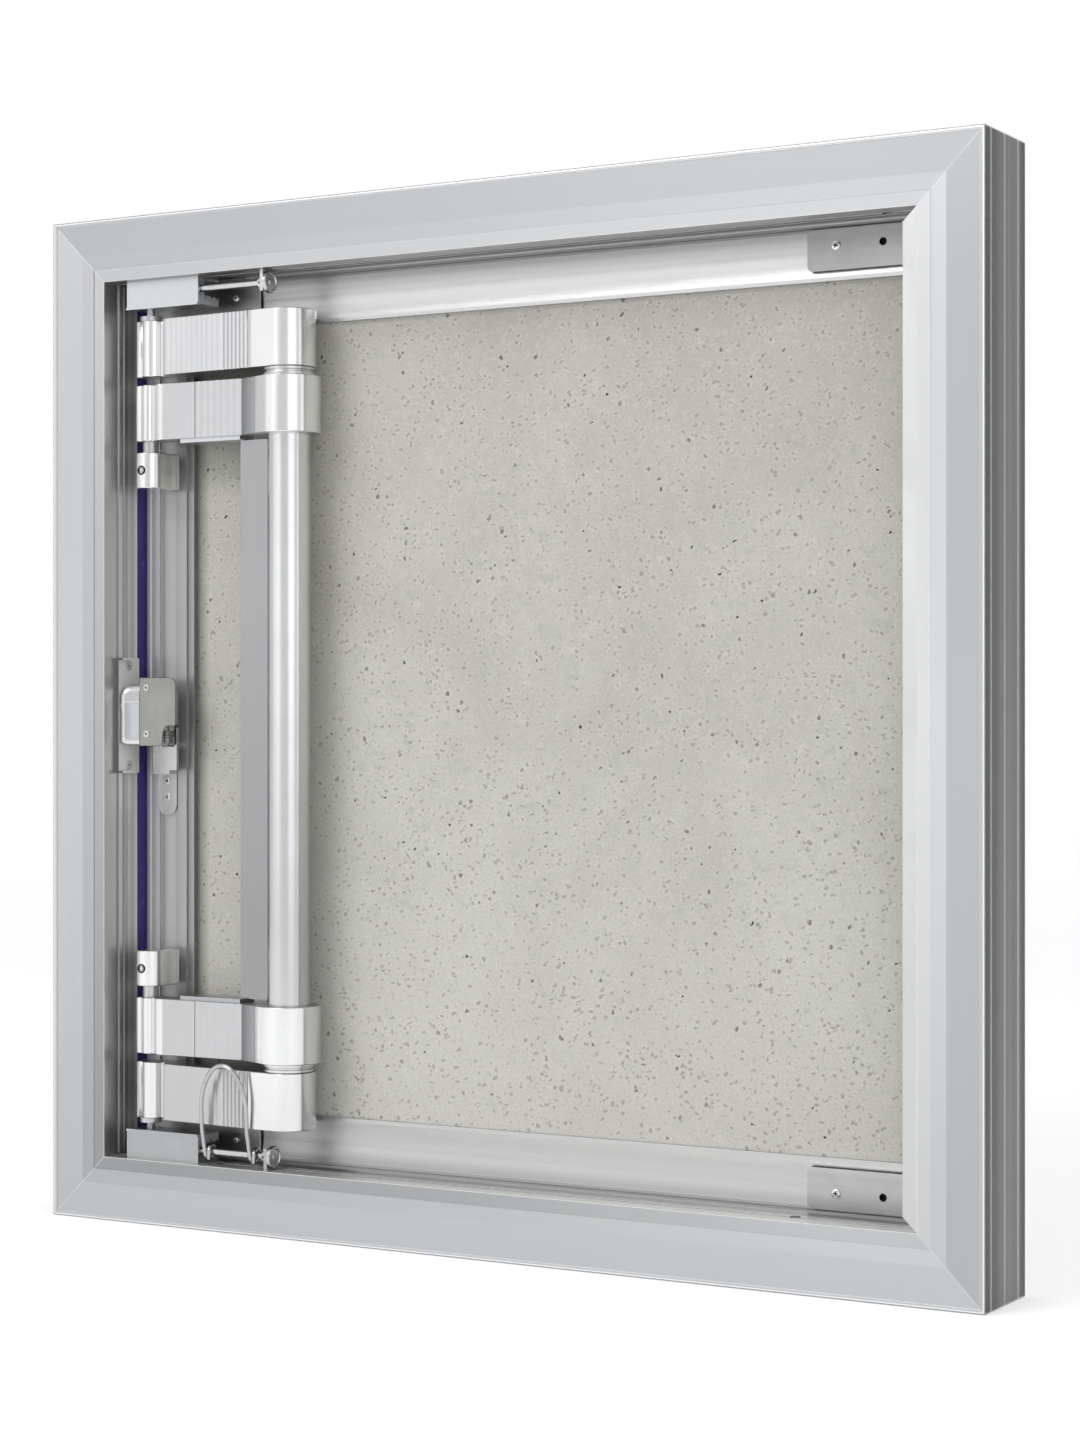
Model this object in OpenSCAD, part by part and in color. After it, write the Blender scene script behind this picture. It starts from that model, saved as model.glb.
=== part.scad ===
// Concealed access panel for tiled walls, drawn from its shaft side.
// X runs from the hinge side to the opening side, Y from the shaft to the room, Z up.
// The origin is the centre of the frame. Places inside a module are measured from the
// frame's hinge-side edge and from its rear edge, and seat() moves them to the origin.

/* [Frame] */
// Outside width of the frame
frame_w = 500; // [460:10:800]
// Outside height of the frame
frame_h = 500; // [480:10:800]
// Width of the frame section, seen from the shaft side
frame_face_w = 31.3; // [30:0.1:34]
// Depth from the rear edge to the ledge that carries the seal
ledge_depth = 28; // [27:0.5:30]
// Wall of the hollow chamber
chamber_wall = 2; // [1.6:0.1:2.4]
// Thickness of the fin that surrounds the door
fin_t = 3; // [2.6:0.1:3.4]
// Width of the flat rear edge
rear_edge_w = 2; // [1.5:0.1:3]
// Step behind the flat rear edge
rear_step = 0.4; // [0.2:0.1:0.6]
// Distance from the outside to the line between the two bevels
bevel_line_w = 17.8; // [14:0.1:20]
// Depth of the rear face at that line
bevel_line_depth = 1.1; // [0.8:0.1:1.2]
// Distance from the outside to the flat inner border
border_line_w = 25; // [22:0.1:27]
// Depth of the flat inner border
border_depth = 1.3; // [1.3:0.1:1.8]
// Width of the grooves along the outside
outer_groove_w = 1.2; // [0.8:0.1:1.6]
// Depth of the grooves along the inner wall
inner_groove_depth = 0.6; // [0.3:0.1:0.8]
// Radius of the fixing holes in the top and bottom members
fixing_hole_r = 2.5; // [2:0.1:3]
// Distance of the top fixing holes from the ends of the member
top_hole_inset = 50; // [48:1:52]
// Distance of the bottom fixing holes from the ends of the member
bottom_hole_inset = 94; // [92:1:98]
// Depth of the fixing holes from the rear edge
fixing_hole_depth = 14; // [13.8:0.1:14.4]
// Length of each leg of a corner key
corner_key_leg = 40; // [34:1:44]
// Clearance of a corner key in its chamber
corner_key_clearance = 0.2; // [0.1:0.05:0.3]
// Width of the catch strip that reaches into the opening
catch_strip_w = 6.5; // [4:0.1:8]
// Thickness of the catch strip
catch_strip_t = 1.5; // [1:0.1:2]
// Depth of the leg that holds the catch strip to the inner wall
catch_strip_leg = 6.2; // [4:0.1:8]

/* [Door] */
// Thickness of the seal between the ledge and the door
seal_t = 8; // [7:0.5:9]
// Width of the seal
seal_w = 7.3; // [5:0.1:8]
// Thickness of the door
door_t = 11; // [10.5:0.1:14]
// Gap between the door and the fin at the hinge side
door_hinge_gap = 2.5; // [2.2:0.1:3]
// Gap between the door and the fin at the other sides
door_gap = 1.5; // [1.2:0.1:2]
// Thickness of the door's rear flanges
flange_t = 2; // [1.8:0.1:2.2]
// Thickness of the door's edge wall
edge_wall_t = 1.5; // [1.2:0.1:2]
// Width of the top and bottom rails
rail_w = 50.5; // [49:0.1:52]
// Width of the hinge-side stile
hinge_stile_w = 55.6; // [55:0.1:57]
// Width of the opening-side stile
free_stile_w = 48; // [44:0.5:50]
// Height of the rail's ridges above the flange
ridge_h = 1; // [0.6:0.1:1.2]
// Radius of the hollow that runs along a rail
cove_r = 40; // [38:1:60]
// Clearance of the board inside the edge wall
board_clearance = 0.1; // [0.1:0.05:0.4]
// Width of the shadow groove in the board beside the hinge-side stile
board_groove_w = 2.2; // [1:0.1:3]
// Depth of that groove
board_groove_depth = 1; // [0.5:0.1:2]
// Length of a corner plate
corner_plate_l = 65; // [60:0.1:66]
// Height of a corner plate
corner_plate_h = 18.5; // [16:0.1:18.8]
// Thickness of a corner plate
corner_plate_t = 1.5; // [1:0.1:1.8]
// Radius of the corners of a corner plate
corner_plate_r = 2.5; // [1:0.1:4]
// Distance of the corner plate's screw from its inner end
corner_screw_inset = 14; // [10:0.5:15]
// Distance of the corner plate's open hole from its inner end
corner_hole_inset = 36.5; // [30:0.5:38]
// How much farther from the corner the hinge-side plates sit
hinge_plate_shift = 6; // [4:0.5:7]

/* [Hinge] */
// Distance of the pivots from the inner wall of the frame
pivot_inset = 16.4; // [16.2:0.1:17]
// Distance of the pivots behind the door's rear face
pivot_standoff = 18; // [17.8:0.1:18.4]
// Distance between the pivots of each arm
arm_length = 84.4; // [84:0.1:90]
// Radius of the arms' small ends
knuckle_r = 7.4; // [7:0.1:7.6]
// Radius of the frame arm's large end
frame_barrel_r = 13.4; // [13:0.1:13.8]
// Radius of the link arm's collar
link_collar_r = 15.7; // [15:0.1:16]
// Distance from the inner wall to the frame arm
arm_drop = 19.2; // [18.8:0.1:20]
// Height of a frame arm
frame_arm_h = 28; // [26:0.5:30]
// Gap between a frame arm and its link arm
arm_gap = 4.3; // [3:0.1:5]
// Height of a link arm
link_arm_h = 27.9; // [26:0.1:30]
// Gap between a link arm and the door clamp
clamp_gap = 5.8; // [5:0.1:8]
// Height of a door clamp
clamp_h = 17.7; // [16:0.1:20]
// Thickness of the body of a door clamp
clamp_r = 7.5; // [7:0.1:7.6]
// Distance from the door pivot to the place where the link arm is split
link_split = 32.9; // [30:0.1:36]
// Distance from the shoulder of the link arm to the elbow
link_shoulder_reach = 23.1; // [22.4:0.1:24.4]
// Radius of the tube that joins both hinges
tube_r = 10.6; // [10:0.1:11]
// Wall of the tube
tube_wall = 2.6; // [2:0.1:3]
// Reach of the fin from the middle of the tube
tube_fin_reach = 27.6; // [24:0.1:30]
// Thickness of the fin
tube_fin_t = 4; // [3:0.1:6]
// Radius of the elbow spindle
spindle_r = 6; // [5:0.1:6.5]
// Radius of the frame pivot pin
frame_pin_r = 2; // [1.8:0.1:2.5]
// Radius of the bush in the frame arm
bush_r = 5.5; // [5.2:0.1:6]
// Height of the bush above the frame arm
bush_h = 2.5; // [1.5:0.1:2.6]
// Radius of the door pin
door_pin_r = 4; // [3:0.1:4.5]
// Radial clearance of a shaft in its bore
running_fit = 0.05; // [0.03:0.01:0.08]
// Width of the deep grooves on the frame arm
rib_groove_w = 1; // [0.8:0.1:1.5]
// Width of the fine grooves on both arms
flute_w = 0.4; // [0.3:0.05:0.6]

/* [Bracket] */
// Length of a pivot bracket
bracket_l = 44; // [42:0.5:46]
// Distance of the bracket from the inner wall at the hinge side
bracket_inset = 10.7; // [9:0.1:11]
// Height of a pivot bracket
bracket_h = 13.7; // [13.4:0.1:13.8]
// Depth of the bracket's rear plate
bracket_plate_depth = 6; // [5.6:0.1:6.4]
// Thickness of the bracket's walls
bracket_wall = 1.5; // [1.5:0.1:1.8]
// Reach of the bracket's flange that carries the pivot pin
bracket_flange_l = 17; // [16.8:0.1:18]
// Thickness of that flange
bracket_flange_t = 4.5; // [4:0.1:5]
// Radius of the release pin's rod
rod_r = 1.75; // [1.5:0.05:1.9]
// Depth of the release pins
rod_depth = 9.4; // [9.3:0.1:9.8]
// Distance of the release pins from the inner wall
rod_drop = 6; // [5.8:0.1:6.1]
// Radius of the release pin's head
rod_head_r = 5.5; // [5:0.1:5.6]
// Distance from the bracket's end to the upper rod guide
upper_guide_gap = 38; // [36:0.5:42]
// Distance from the bracket's end to the lower rod guide
lower_guide_gap = 40.3; // [39.8:0.1:44]
// Thickness of a rod guide's ear
guide_ear_t = 1.8; // [1.5:0.1:2.5]
// Radius of the wire of the bail
bail_wire_r = 1.1; // [0.9:0.05:1.2]
// Distance between the bail's legs
bail_w = 27; // [25:0.5:28]
// Distance from the bracket's end to the bail's first leg
bail_gap = 4; // [3:0.1:5]
// Height of the bail above its rod
bail_h = 43.5; // [40:0.5:44]

/* [Latch] */
// Height of the latch strip
latch_strip_h = 58; // [56:1:70]
// Width of the latch strip
latch_strip_w = 17; // [16:0.5:18]
// Thickness of the latch strip
latch_strip_t = 2; // [1.5:0.1:2]
// Depth of the latch strip
latch_strip_depth = 10; // [10:0.1:10.5]
// Height of the middle of the latch strip
latch_strip_z = 2; // [0:0.5:4]
// Width of the latch housing
housing_w = 32; // [31:0.5:34]
// Height of the latch housing
housing_h = 34.2; // [33.8:0.1:36]
// Height of the top of the latch housing
housing_top = 20.9; // [20.5:0.1:21.5]
// Depth of the latch housing's rear face
housing_depth = 16; // [15.8:0.1:16.2]
// Thickness of the latch housing
housing_t = 11.4; // [11:0.1:11.6]
// Width of the rounded hump at the wall
hump_w = 9.8; // [8:0.1:10.4]
// Depth of the hump's rear face
hump_depth = 9; // [8.6:0.1:10]
// Thickness of the latch cover
cover_t = 1.5; // [1:0.1:2]
// Radius of the claw
claw_r = 10; // [9.6:0.1:10.2]
// Thickness of the claw
claw_t = 3; // [2.4:0.1:3.4]
// Width of the striker
striker_w = 15; // [14.6:0.1:15.4]
// Height of the striker
striker_h = 21.6; // [20:0.1:24]
// Thickness of the striker
striker_t = 2; // [1.6:0.1:2]
// Length of the striker's foot
striker_foot_l = 23; // [22:0.5:26]

/* [Hidden] */
$fn = 96;

// A little more than a wall, so that a cut leaves no skin
cut = 1;
door_rear = ledge_depth + seal_t;
frame_depth = door_rear + door_t;
wall_x = frame_face_w;
wall_z = frame_h / 2 - frame_face_w;

// Depths of the grooves along the frame
outer_grooves = [7, 22.5, 38.5];
inner_grooves = [12.2, 17.1];
inner_groove_w = [2.4, 1.2];
chamber_depth = border_depth + chamber_wall;

// Pivots and heights of the hinge, upper half
pivot_x = wall_x + pivot_inset;
pivot_y = door_rear - pivot_standoff;
elbow_x = pivot_x + arm_length;
link_shoulder = arm_length - link_shoulder_reach;
frame_arm_top = wall_z - arm_drop;
frame_arm_z = frame_arm_top - frame_arm_h;
link_arm_top = frame_arm_z - arm_gap;
link_arm_z = link_arm_top - link_arm_h;
clamp_top = link_arm_z - clamp_gap;
clamp_z = clamp_top - clamp_h;
bracket_z = wall_z - bracket_h;
bracket_x = wall_x + bracket_inset;
bracket_end = bracket_x + bracket_l;

// The arms' flat sides lie this far inside their round ends
flat_inset = 0.03;

// Elbow and pivots inside the arms
arm_taper = asin((frame_barrel_r - knuckle_r) / arm_length);
barrel_roof = 3.5;
ring_r = 13;
ring_play = 0.2;
spindle_plug_l = 30;
bush_shank_r = 4.4;
bush_depth = 12;
pin_head_r = 3.2;
pin_head_h = 2;
pin_end_play = 1;
tongue_l = 16;
tongue_t = 7;
tongue_inset = 3;
tongue_play = 0.1;
link_plate_t = 2;
link_plate_w = 12;
link_plate_start = link_split - 10;
link_plate_end_gap = 2;
rib_pitch = 2.5;
rib_count = 7;
rib_start = 53;
flute_pitch = 2;
flute_count = 15;
flute_start = 20;
soft_flute_pitch = 3;
soft_flute_count = 9;

// Door clamp: its body, its foot on the stile and its set screw
clamp_body_l = 12;
clamp_floor = 1;
clamp_foot_start = 4.5;
clamp_foot_w = 8;
clamp_foot_inset = 2;
clamp_screw_turn = 88;
clamp_screw_sink = 1;

// Screws, by the radius of the shank and of the head
clamp_screw_r = 1.95;
screw_r = 1.5;
screw_head_r = 2.4;
screw_head_h = 1.4;
screw_play = 0.05;
screw_reach = 2.5;
screw_end_play = 0.2;

// Door outline, measured from the frame's hinge-side edge
door_x = fin_t + door_hinge_gap;
door_free_x = frame_w - fin_t - door_gap;
door_half_h = frame_h / 2 - fin_t - door_gap;
hinge_stile_x = door_x + hinge_stile_w;
free_stile_x = door_free_x - free_stile_w;
rail_z = door_half_h - rail_w;

// Ridges of the door's profiles, measured inward from the door's edge
opening_play = 0.5;
rail_ridge = door_half_h - wall_z + opening_play;
rail_ridge_top_w = 1.2;
rail_ridge_edge_w = 1.8;
stile_lip = wall_x - door_x + 1;
stile_lip_w = 1.6;
stile_lip_h = 0.8;
stile_groove_gap = 7.3;
stile_groove = stile_lip + stile_groove_gap;
stile_groove_w = 3.6;
stile_groove_depth = 1.2;
stile_strip_gap = 19.3;
stile_strip = stile_lip + stile_strip_gap;
stile_strip_w = 5.7;

// Corner plates lie on the rails' ridges
plate_rear = door_rear - ridge_h - corner_plate_t;
plate_top = wall_z - 0.7;
plate_screw_z = plate_top - 7.6;
plate_end = wall_x + 1;
plate_hole_r = 1.8;

// Grooves of a bracket's flange, from its room-side end, and the bead along its plate
flange_groove_count = 3;
flange_groove_inset = 1.3;
flange_groove_pitch = 4.5;
flange_groove_w = 1.2;
flange_groove_depth = 1.2;
bead_depth = 0.8;
bead_h = 0.6;

// Places of a bracket's screws
bracket_screw_pitch = 16;
bracket_screw_x = [bracket_x + bracket_screw_pitch, bracket_x + 2 * bracket_screw_pitch];
bracket_screw_y = pivot_y - 2;

// Release pins, their guides and the bail
rod_z = wall_z - rod_drop;
rod_l = 51.4;
rod_head_t = 2;
web_inset = 2;
web_w = 8;
web_t = 2;
guide_tongue_w = 5;
guide_tongue_l = 1.5;
guide_ear_w = 9;
guide_boss_l = 2.5;
guide_boss_r = 3;
guide_eye_r = 0.8;
upper_guide_x = bracket_end + upper_guide_gap;
lower_guide_x = bracket_end + lower_guide_gap;
bail_x = bracket_end + bail_gap;
eye_r = rod_r + running_fit + bail_wire_r;
bail_tail = 3.6;
eye_pitch = 2.4;
bail_knee_h = 11.6;
bail_knee_y = 4;
bail_top_y = 2;
bail_arch_h = 21.5;
bail_crown_r = 9;
wire_sides = 12;

// Latch
strip_x = wall_x + latch_strip_t;
housing_x = strip_x;
housing_z = housing_top - housing_h;
cover_x = housing_x + hump_w;
housing_end = housing_x + housing_w;
hump_inset = 3;
hump_round_r = 6;
notch_w = 6.5;
notch_h = 10.6;
cover_r = 2.5;
claw_x = housing_end - 10.3;
claw_y = housing_depth + 5.5;
claw_z = housing_z + 1.2;
claw_slot_play = 0.6;
claw_hub_r = 3;
claw_hook_r = 7.5;
claw_hook_start = 150;
claw_hook_end = 166;
claw_tail_end = 200;
claw_lap = 1;
claw_pin_r = 1.2;
claw_pin_l = 12;
spring_r = 3.2;
spring_wire_r = 0.6;
spring_turns = 3;
spring_pitch = 1.1;
spring_play = 0.1;
spring_sides = 24;
spring_space = spring_turns * spring_pitch + spring_wire_r;
cover_screw_r = 0.9;
cover_screw_head_r = 1.7;
cover_screw_head_h = 0.5;
cover_screw_reach = 4;
cover_screw_x = cover_x + 4.4;
cover_screw_z = [housing_top - 5, housing_z + 6];
strip_screw_z = [latch_strip_z + latch_strip_h / 2 - 4, latch_strip_z - latch_strip_h / 2 + 4];
strip_tab_l = 2.5;
strip_tab_w = 10.2;
strip_tab_t = 1.2;
striker_rear = door_rear - 7.8;
striker_x = pivot_x - 6.7;
striker_top = -4;
striker_low = striker_top - striker_h;
striker_foot_x = pivot_x - 7.9;
striker_foot_w = 11.6;
striker_foot_t = 1.8;
striker_shelf_w = 10.4;
striker_screw_x = striker_foot_x + striker_foot_w / 2;
striker_screw_inset = 5.4;
striker_screw_pitch = 8.5;
striker_screw_z = [
    striker_low - striker_screw_inset,
    striker_low - striker_screw_inset - striker_screw_pitch
];
window_h = 6;
window_z = claw_z - 1.6;
window_x = claw_x - 8.1;
window_w = 7.7;

// Moves a piece from the frame's rear hinge-side edge to the origin
module seat() translate([-frame_w / 2, -frame_depth / 2, 0]) children();

// Extrudes an outline drawn as (depth, height) along X
module along_x(length) rotate([90, 0, 90]) linear_extrude(length) children();

// Extrudes an outline drawn as (X, height) along Y, from the given depth
module along_y(depth, length)
    translate([0, depth + length, 0])
        rotate([90, 0, 0])
            linear_extrude(length) children();

// A piece and its mirror image in the lower half
module both_halves() {
    children();
    mirror([0, 0, 1]) children();
}

// The same piece at the frame's opening side
module opening_side() translate([frame_w, 0, 0]) mirror([1, 0, 0]) children();

// Shared frame parts

module frame_profile() difference() {
    polygon([
        [0, 0],
        [0, rear_edge_w],
        [rear_step, rear_edge_w],
        [bevel_line_depth, bevel_line_w],
        [border_depth, border_line_w],
        [border_depth, frame_face_w],
        [ledge_depth, frame_face_w],
        [ledge_depth, fin_t],
        [frame_depth, fin_t],
        [frame_depth, 0]
    ]);
    translate([chamber_depth, chamber_wall])
        square([ledge_depth - chamber_wall - chamber_depth, frame_face_w - 2 * chamber_wall]);
    for (depth = outer_grooves)
        translate([depth, 0])
            rotate(45)
                square(outer_groove_w / sqrt(2), center = true);
    for (i = [0 : len(inner_grooves) - 1])
        translate([inner_grooves[i], frame_face_w])
            square([inner_groove_w[i], 2 * inner_groove_depth], center = true);
}

// A member lies along X with its outside at height 0 and both ends mitred
module frame_member(length) intersection() {
    along_x(length) frame_profile();
    along_y(-cut, frame_depth + 2 * cut)
        polygon([[0, 0], [length, 0], [length - frame_face_w, frame_face_w], [frame_face_w, frame_face_w]]);
}

// A rail at the top, with its fixing holes and the seats of the bracket and the rod guide
module frame_rail(hole_inset, guide_x) difference() {
    mirror([0, 0, 1]) translate([0, 0, -frame_h / 2]) frame_member(frame_w);
    for (x = [hole_inset, frame_w - hole_inset])
        translate([x, fixing_hole_depth, wall_z - cut])
            cylinder(r = fixing_hole_r, h = frame_face_w + 2 * cut);
    for (x = bracket_screw_x)
        translate([x, bracket_screw_y, wall_z - cut])
            cylinder(r = screw_r + screw_play, h = chamber_wall + 2 * cut);
    translate([guide_x - screw_play, rod_depth - guide_tongue_w / 2 - screw_play, wall_z - cut])
        cube([guide_ear_t + 2 * screw_play, guide_tongue_w + 2 * screw_play, chamber_wall + 2 * cut]);
}

module frame_stile() translate([0, 0, -frame_h / 2]) mirror([1, 0, -1]) frame_member(frame_h);

module frame_hinge_stile() color("lightgray") seat() difference() {
    frame_stile();
    for (z = strip_screw_z)
        translate([wall_x - chamber_wall - cut, latch_strip_depth + latch_strip_w / 2, z])
            rotate([0, 90, 0])
                cylinder(r = screw_r + screw_play, h = chamber_wall + 2 * cut);
}

module frame_free_stile() color("silver") seat() opening_side() frame_stile();

module frame_top_rail() color("lightgray") seat() frame_rail(top_hole_inset, upper_guide_x);

module frame_bottom_rail() color("silver") seat() mirror([0, 0, 1])
    frame_rail(bottom_hole_inset, lower_guide_x);

module corner_key() {
    low = chamber_wall + corner_key_clearance;
    high = frame_face_w - chamber_wall - corner_key_clearance;
    slot = (high - low) / 3;
    depth = chamber_depth + corner_key_clearance;
    translate([0, 0, -frame_h / 2])
        along_y(depth, ledge_depth - chamber_wall - corner_key_clearance - depth)
            difference() {
                polygon([
                    [low, low],
                    [corner_key_leg, low],
                    [corner_key_leg, high],
                    [high, high],
                    [high, corner_key_leg],
                    [low, corner_key_leg]
                ]);
                translate([low + slot, low + slot]) square([slot, slot]);
            }
}

module corner_keys() color("darkgray") seat() both_halves() {
    corner_key();
    opening_side() corner_key();
}

module catch_strip() color("gainsboro") seat() opening_side() intersection() {
    translate([0, 0, -wall_z])
        linear_extrude(2 * wall_z)
            polygon([
                [wall_x, border_depth],
                [wall_x + catch_strip_w, border_depth],
                [wall_x + catch_strip_w, border_depth + catch_strip_t],
                [wall_x + catch_strip_t, border_depth + catch_strip_t],
                [wall_x + catch_strip_t, border_depth + catch_strip_t + catch_strip_leg],
                [wall_x, border_depth + catch_strip_t + catch_strip_leg]
            ]);
    along_y(0, ledge_depth)
        polygon([
            [wall_x, -wall_z],
            [wall_x + catch_strip_w, -wall_z + catch_strip_w],
            [wall_x + catch_strip_w, wall_z - catch_strip_w],
            [wall_x, wall_z]
        ]);
}

module door_seal() color("midnightblue") seat() along_y(ledge_depth, seal_t) difference() {
    edge = wall_x - seal_w;
    translate([edge, -frame_h / 2 + edge]) square([frame_w - 2 * edge, frame_h - 2 * edge]);
    translate([wall_x, -wall_z]) square([frame_w - 2 * wall_x, 2 * wall_z]);
}

// Pivot brackets, release pins and the bail

module bracket_profile() union() {
    translate([bracket_plate_depth, bracket_z]) square([bracket_wall, bracket_h]);
    difference() {
        translate([bracket_plate_depth, bracket_z]) square([bracket_flange_l, bracket_flange_t]);
        for (i = [0 : flange_groove_count - 1])
            translate([
                bracket_plate_depth + bracket_flange_l - flange_groove_inset - flange_groove_pitch * i,
                bracket_z + bracket_flange_t
            ])
                square([flange_groove_w, 2 * flange_groove_depth], center = true);
    }
    translate([bracket_plate_depth, wall_z - bracket_wall]) square([bracket_flange_l, bracket_wall]);
    translate([bracket_plate_depth - bead_depth, bracket_z - bead_h])
        square([bead_depth + bracket_wall, 2 * bead_h]);
}

module pivot_bracket() difference() {
    union() {
        translate([bracket_x, 0, 0]) along_x(bracket_l) bracket_profile();
        translate([bracket_end - web_inset - web_t, bracket_plate_depth, bracket_z])
            cube([web_t, web_w, bracket_h]);
    }
    translate([pivot_x, pivot_y, bracket_z - cut])
        cylinder(r = frame_pin_r + running_fit, h = bracket_flange_t + 2 * cut);
    translate([bracket_end - web_inset - web_t - cut, rod_depth, rod_z])
        rotate([0, 90, 0])
            cylinder(r = rod_r + running_fit, h = web_t + 2 * cut);
    translate([top_hole_inset, fixing_hole_depth, wall_z - bracket_wall - cut])
        cylinder(r = fixing_hole_r + cut, h = bracket_wall + 2 * cut);
    for (x = bracket_screw_x)
        translate([x, bracket_screw_y, wall_z - bracket_wall - cut])
            cylinder(r = screw_r + screw_play, h = bracket_wall + 2 * cut);
}

module upper_pivot_bracket() color("gainsboro") seat() pivot_bracket();

module lower_pivot_bracket() color("gainsboro") seat() mirror([0, 0, 1]) pivot_bracket();

// A screw whose head lies under the given height and whose shank points up
module screw_up(reach) {
    translate([0, 0, -screw_head_h]) cylinder(r = screw_head_r, h = screw_head_h);
    cylinder(r = screw_r, h = reach);
}

module bracket_screws() color("slategray") seat() both_halves()
    for (x = bracket_screw_x)
        translate([x, bracket_screw_y, wall_z - bracket_wall])
            screw_up(bracket_wall + chamber_wall + screw_reach);

module frame_pivot_pins() color("dimgray") seat() both_halves() translate([pivot_x, pivot_y, 0]) {
    low = frame_arm_top - bush_depth + pin_end_play;
    translate([0, 0, low]) cylinder(r = frame_pin_r, h = bracket_z + bracket_flange_t - low);
    translate([0, 0, bracket_z + bracket_flange_t]) cylinder(r = pin_head_r, h = pin_head_h);
}

module rod_guide(guide_x) difference() {
    union() {
        translate([guide_x, rod_depth - guide_ear_w / 2, rod_z - guide_ear_w / 2])
            cube([guide_ear_t, guide_ear_w, rod_drop + guide_ear_w / 2]);
        translate([guide_x - guide_boss_l, rod_depth, rod_z])
            rotate([0, 90, 0])
                cylinder(r = guide_boss_r, h = guide_boss_l);
        translate([guide_x, rod_depth - guide_tongue_w / 2, wall_z - cut])
            cube([guide_ear_t, guide_tongue_w, guide_tongue_l + cut]);
    }
    translate([guide_x - guide_boss_l - cut, rod_depth, rod_z])
        rotate([0, 90, 0])
            cylinder(r = rod_r + running_fit, h = guide_boss_l + guide_ear_t + 2 * cut);
    translate([guide_x - guide_boss_l / 2, rod_depth, rod_z])
        rotate([90, 0, 0])
            cylinder(r = guide_eye_r, h = guide_boss_r + cut);
}

module upper_rod_guide() color("gainsboro") seat() rod_guide(upper_guide_x);

module lower_rod_guide() color("gainsboro") seat() mirror([0, 0, 1]) rod_guide(lower_guide_x);

module release_pin(guide_x) translate([guide_x + guide_ear_t, rod_depth, rod_z]) rotate([0, 90, 0]) {
    translate([0, 0, -rod_l]) cylinder(r = rod_r, h = rod_l + rod_head_t);
    cylinder(r = rod_head_r, h = rod_head_t);
}

module upper_release_pin() color("lightgray") seat() release_pin(upper_guide_x);

module lower_release_pin() color("lightgray") seat() mirror([0, 0, 1]) release_pin(lower_guide_x);

function unit(v) = v / norm(v);
function along(path, i) = unit(path[min(i + 1, len(path) - 1)] - path[max(i - 1, 0)]);
function square_to(v, direction) = unit(v - (v * direction) * direction);

// A round wire swept along the points of a path
module wire(path, r, sides) {
    count = len(path);
    first = square_to([1, 0, 0], along(path, 0));
    normals = [for (
        i = 0, n = first;
        i < count;
        i = i + 1, n = i < count ? square_to(n, along(path, i)) : n
    ) n];
    points = [for (i = [0 : count - 1], k = [0 : sides - 1])
        let (a = 360 * k / sides, across = cross(along(path, i), normals[i]))
        path[i] + r * (cos(a) * normals[i] + sin(a) * across)];
    walls = [for (i = [0 : count - 2], k = [0 : sides - 1])
        let (next = (k + 1) % sides)
        [i * sides + k, (i + 1) * sides + k, (i + 1) * sides + next, i * sides + next]];
    start = [for (k = [0 : sides - 1]) k];
    end = [for (k = [sides - 1 : -1 : 0]) (count - 1) * sides + k];
    polyhedron(points = points, faces = concat(walls, [start], [end]));
}

// Right half of the bail's arch, from its foot to its crown, as [X, height]
arch_half = bail_w / 2;
arch_rise = bail_arch_h - bail_crown_r;
arch_side_r = (arch_half * arch_half + arch_rise * arch_rise - bail_crown_r * bail_crown_r)
    / (2 * (arch_half - bail_crown_r));
arch_swing = atan2(arch_rise, arch_side_r - arch_half);
arch_steps = 6;
arch_side = [for (i = [0 : arch_steps])
    let (a = arch_swing * i / arch_steps)
    [arch_half - arch_side_r + arch_side_r * cos(a), arch_side_r * sin(a)]];
arch_crown = [for (i = [1 : arch_steps])
    let (a = arch_swing + (90 - arch_swing) * i / arch_steps)
    [bail_crown_r * cos(a), arch_rise + bail_crown_r * sin(a)]];
arch_right = concat(arch_side, arch_crown);
arch_points = concat(
    [for (i = [0 : len(arch_right) - 1]) [-arch_right[i][0], arch_right[i][1]]],
    [for (i = [len(arch_right) - 2 : -1 : 0]) arch_right[i]]
);

// The bail leans towards the shaft, measured from the rod's axis
function bail_point(x, h) = [
    x,
    bail_knee_y - (bail_knee_y - bail_top_y) * (h - bail_knee_h) / (bail_h - bail_knee_h),
    -rod_z + h
];

// One turn round the rod, from its front under and behind it
eye_steps = 16;
function eye(x) = [for (i = [0 : eye_steps])
    let (a = 360 * i / eye_steps)
    [x + eye_pitch * i / eye_steps, rod_depth - eye_r * cos(a), -rod_z - eye_r * sin(a)]];
function backwards(list) = [for (i = [len(list) - 1 : -1 : 0]) list[i]];
function tail_end(x) = [x + eye_pitch, rod_depth - eye_r, -rod_z - bail_tail];

module wire_bail() color("silver") seat() {
    middle = bail_x + bail_w / 2;
    path = concat(
        [tail_end(bail_x)],
        backwards(eye(bail_x)),
        [bail_point(bail_x, bail_knee_h)],
        [for (p = arch_points) bail_point(middle + p[0], bail_h - bail_arch_h + p[1])],
        [bail_point(bail_x + bail_w, bail_knee_h)],
        eye(bail_x + bail_w),
        [tail_end(bail_x + bail_w)]
    );
    wire(path, bail_wire_r, wire_sides);
}

// Latch on the frame and striker on the door

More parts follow.
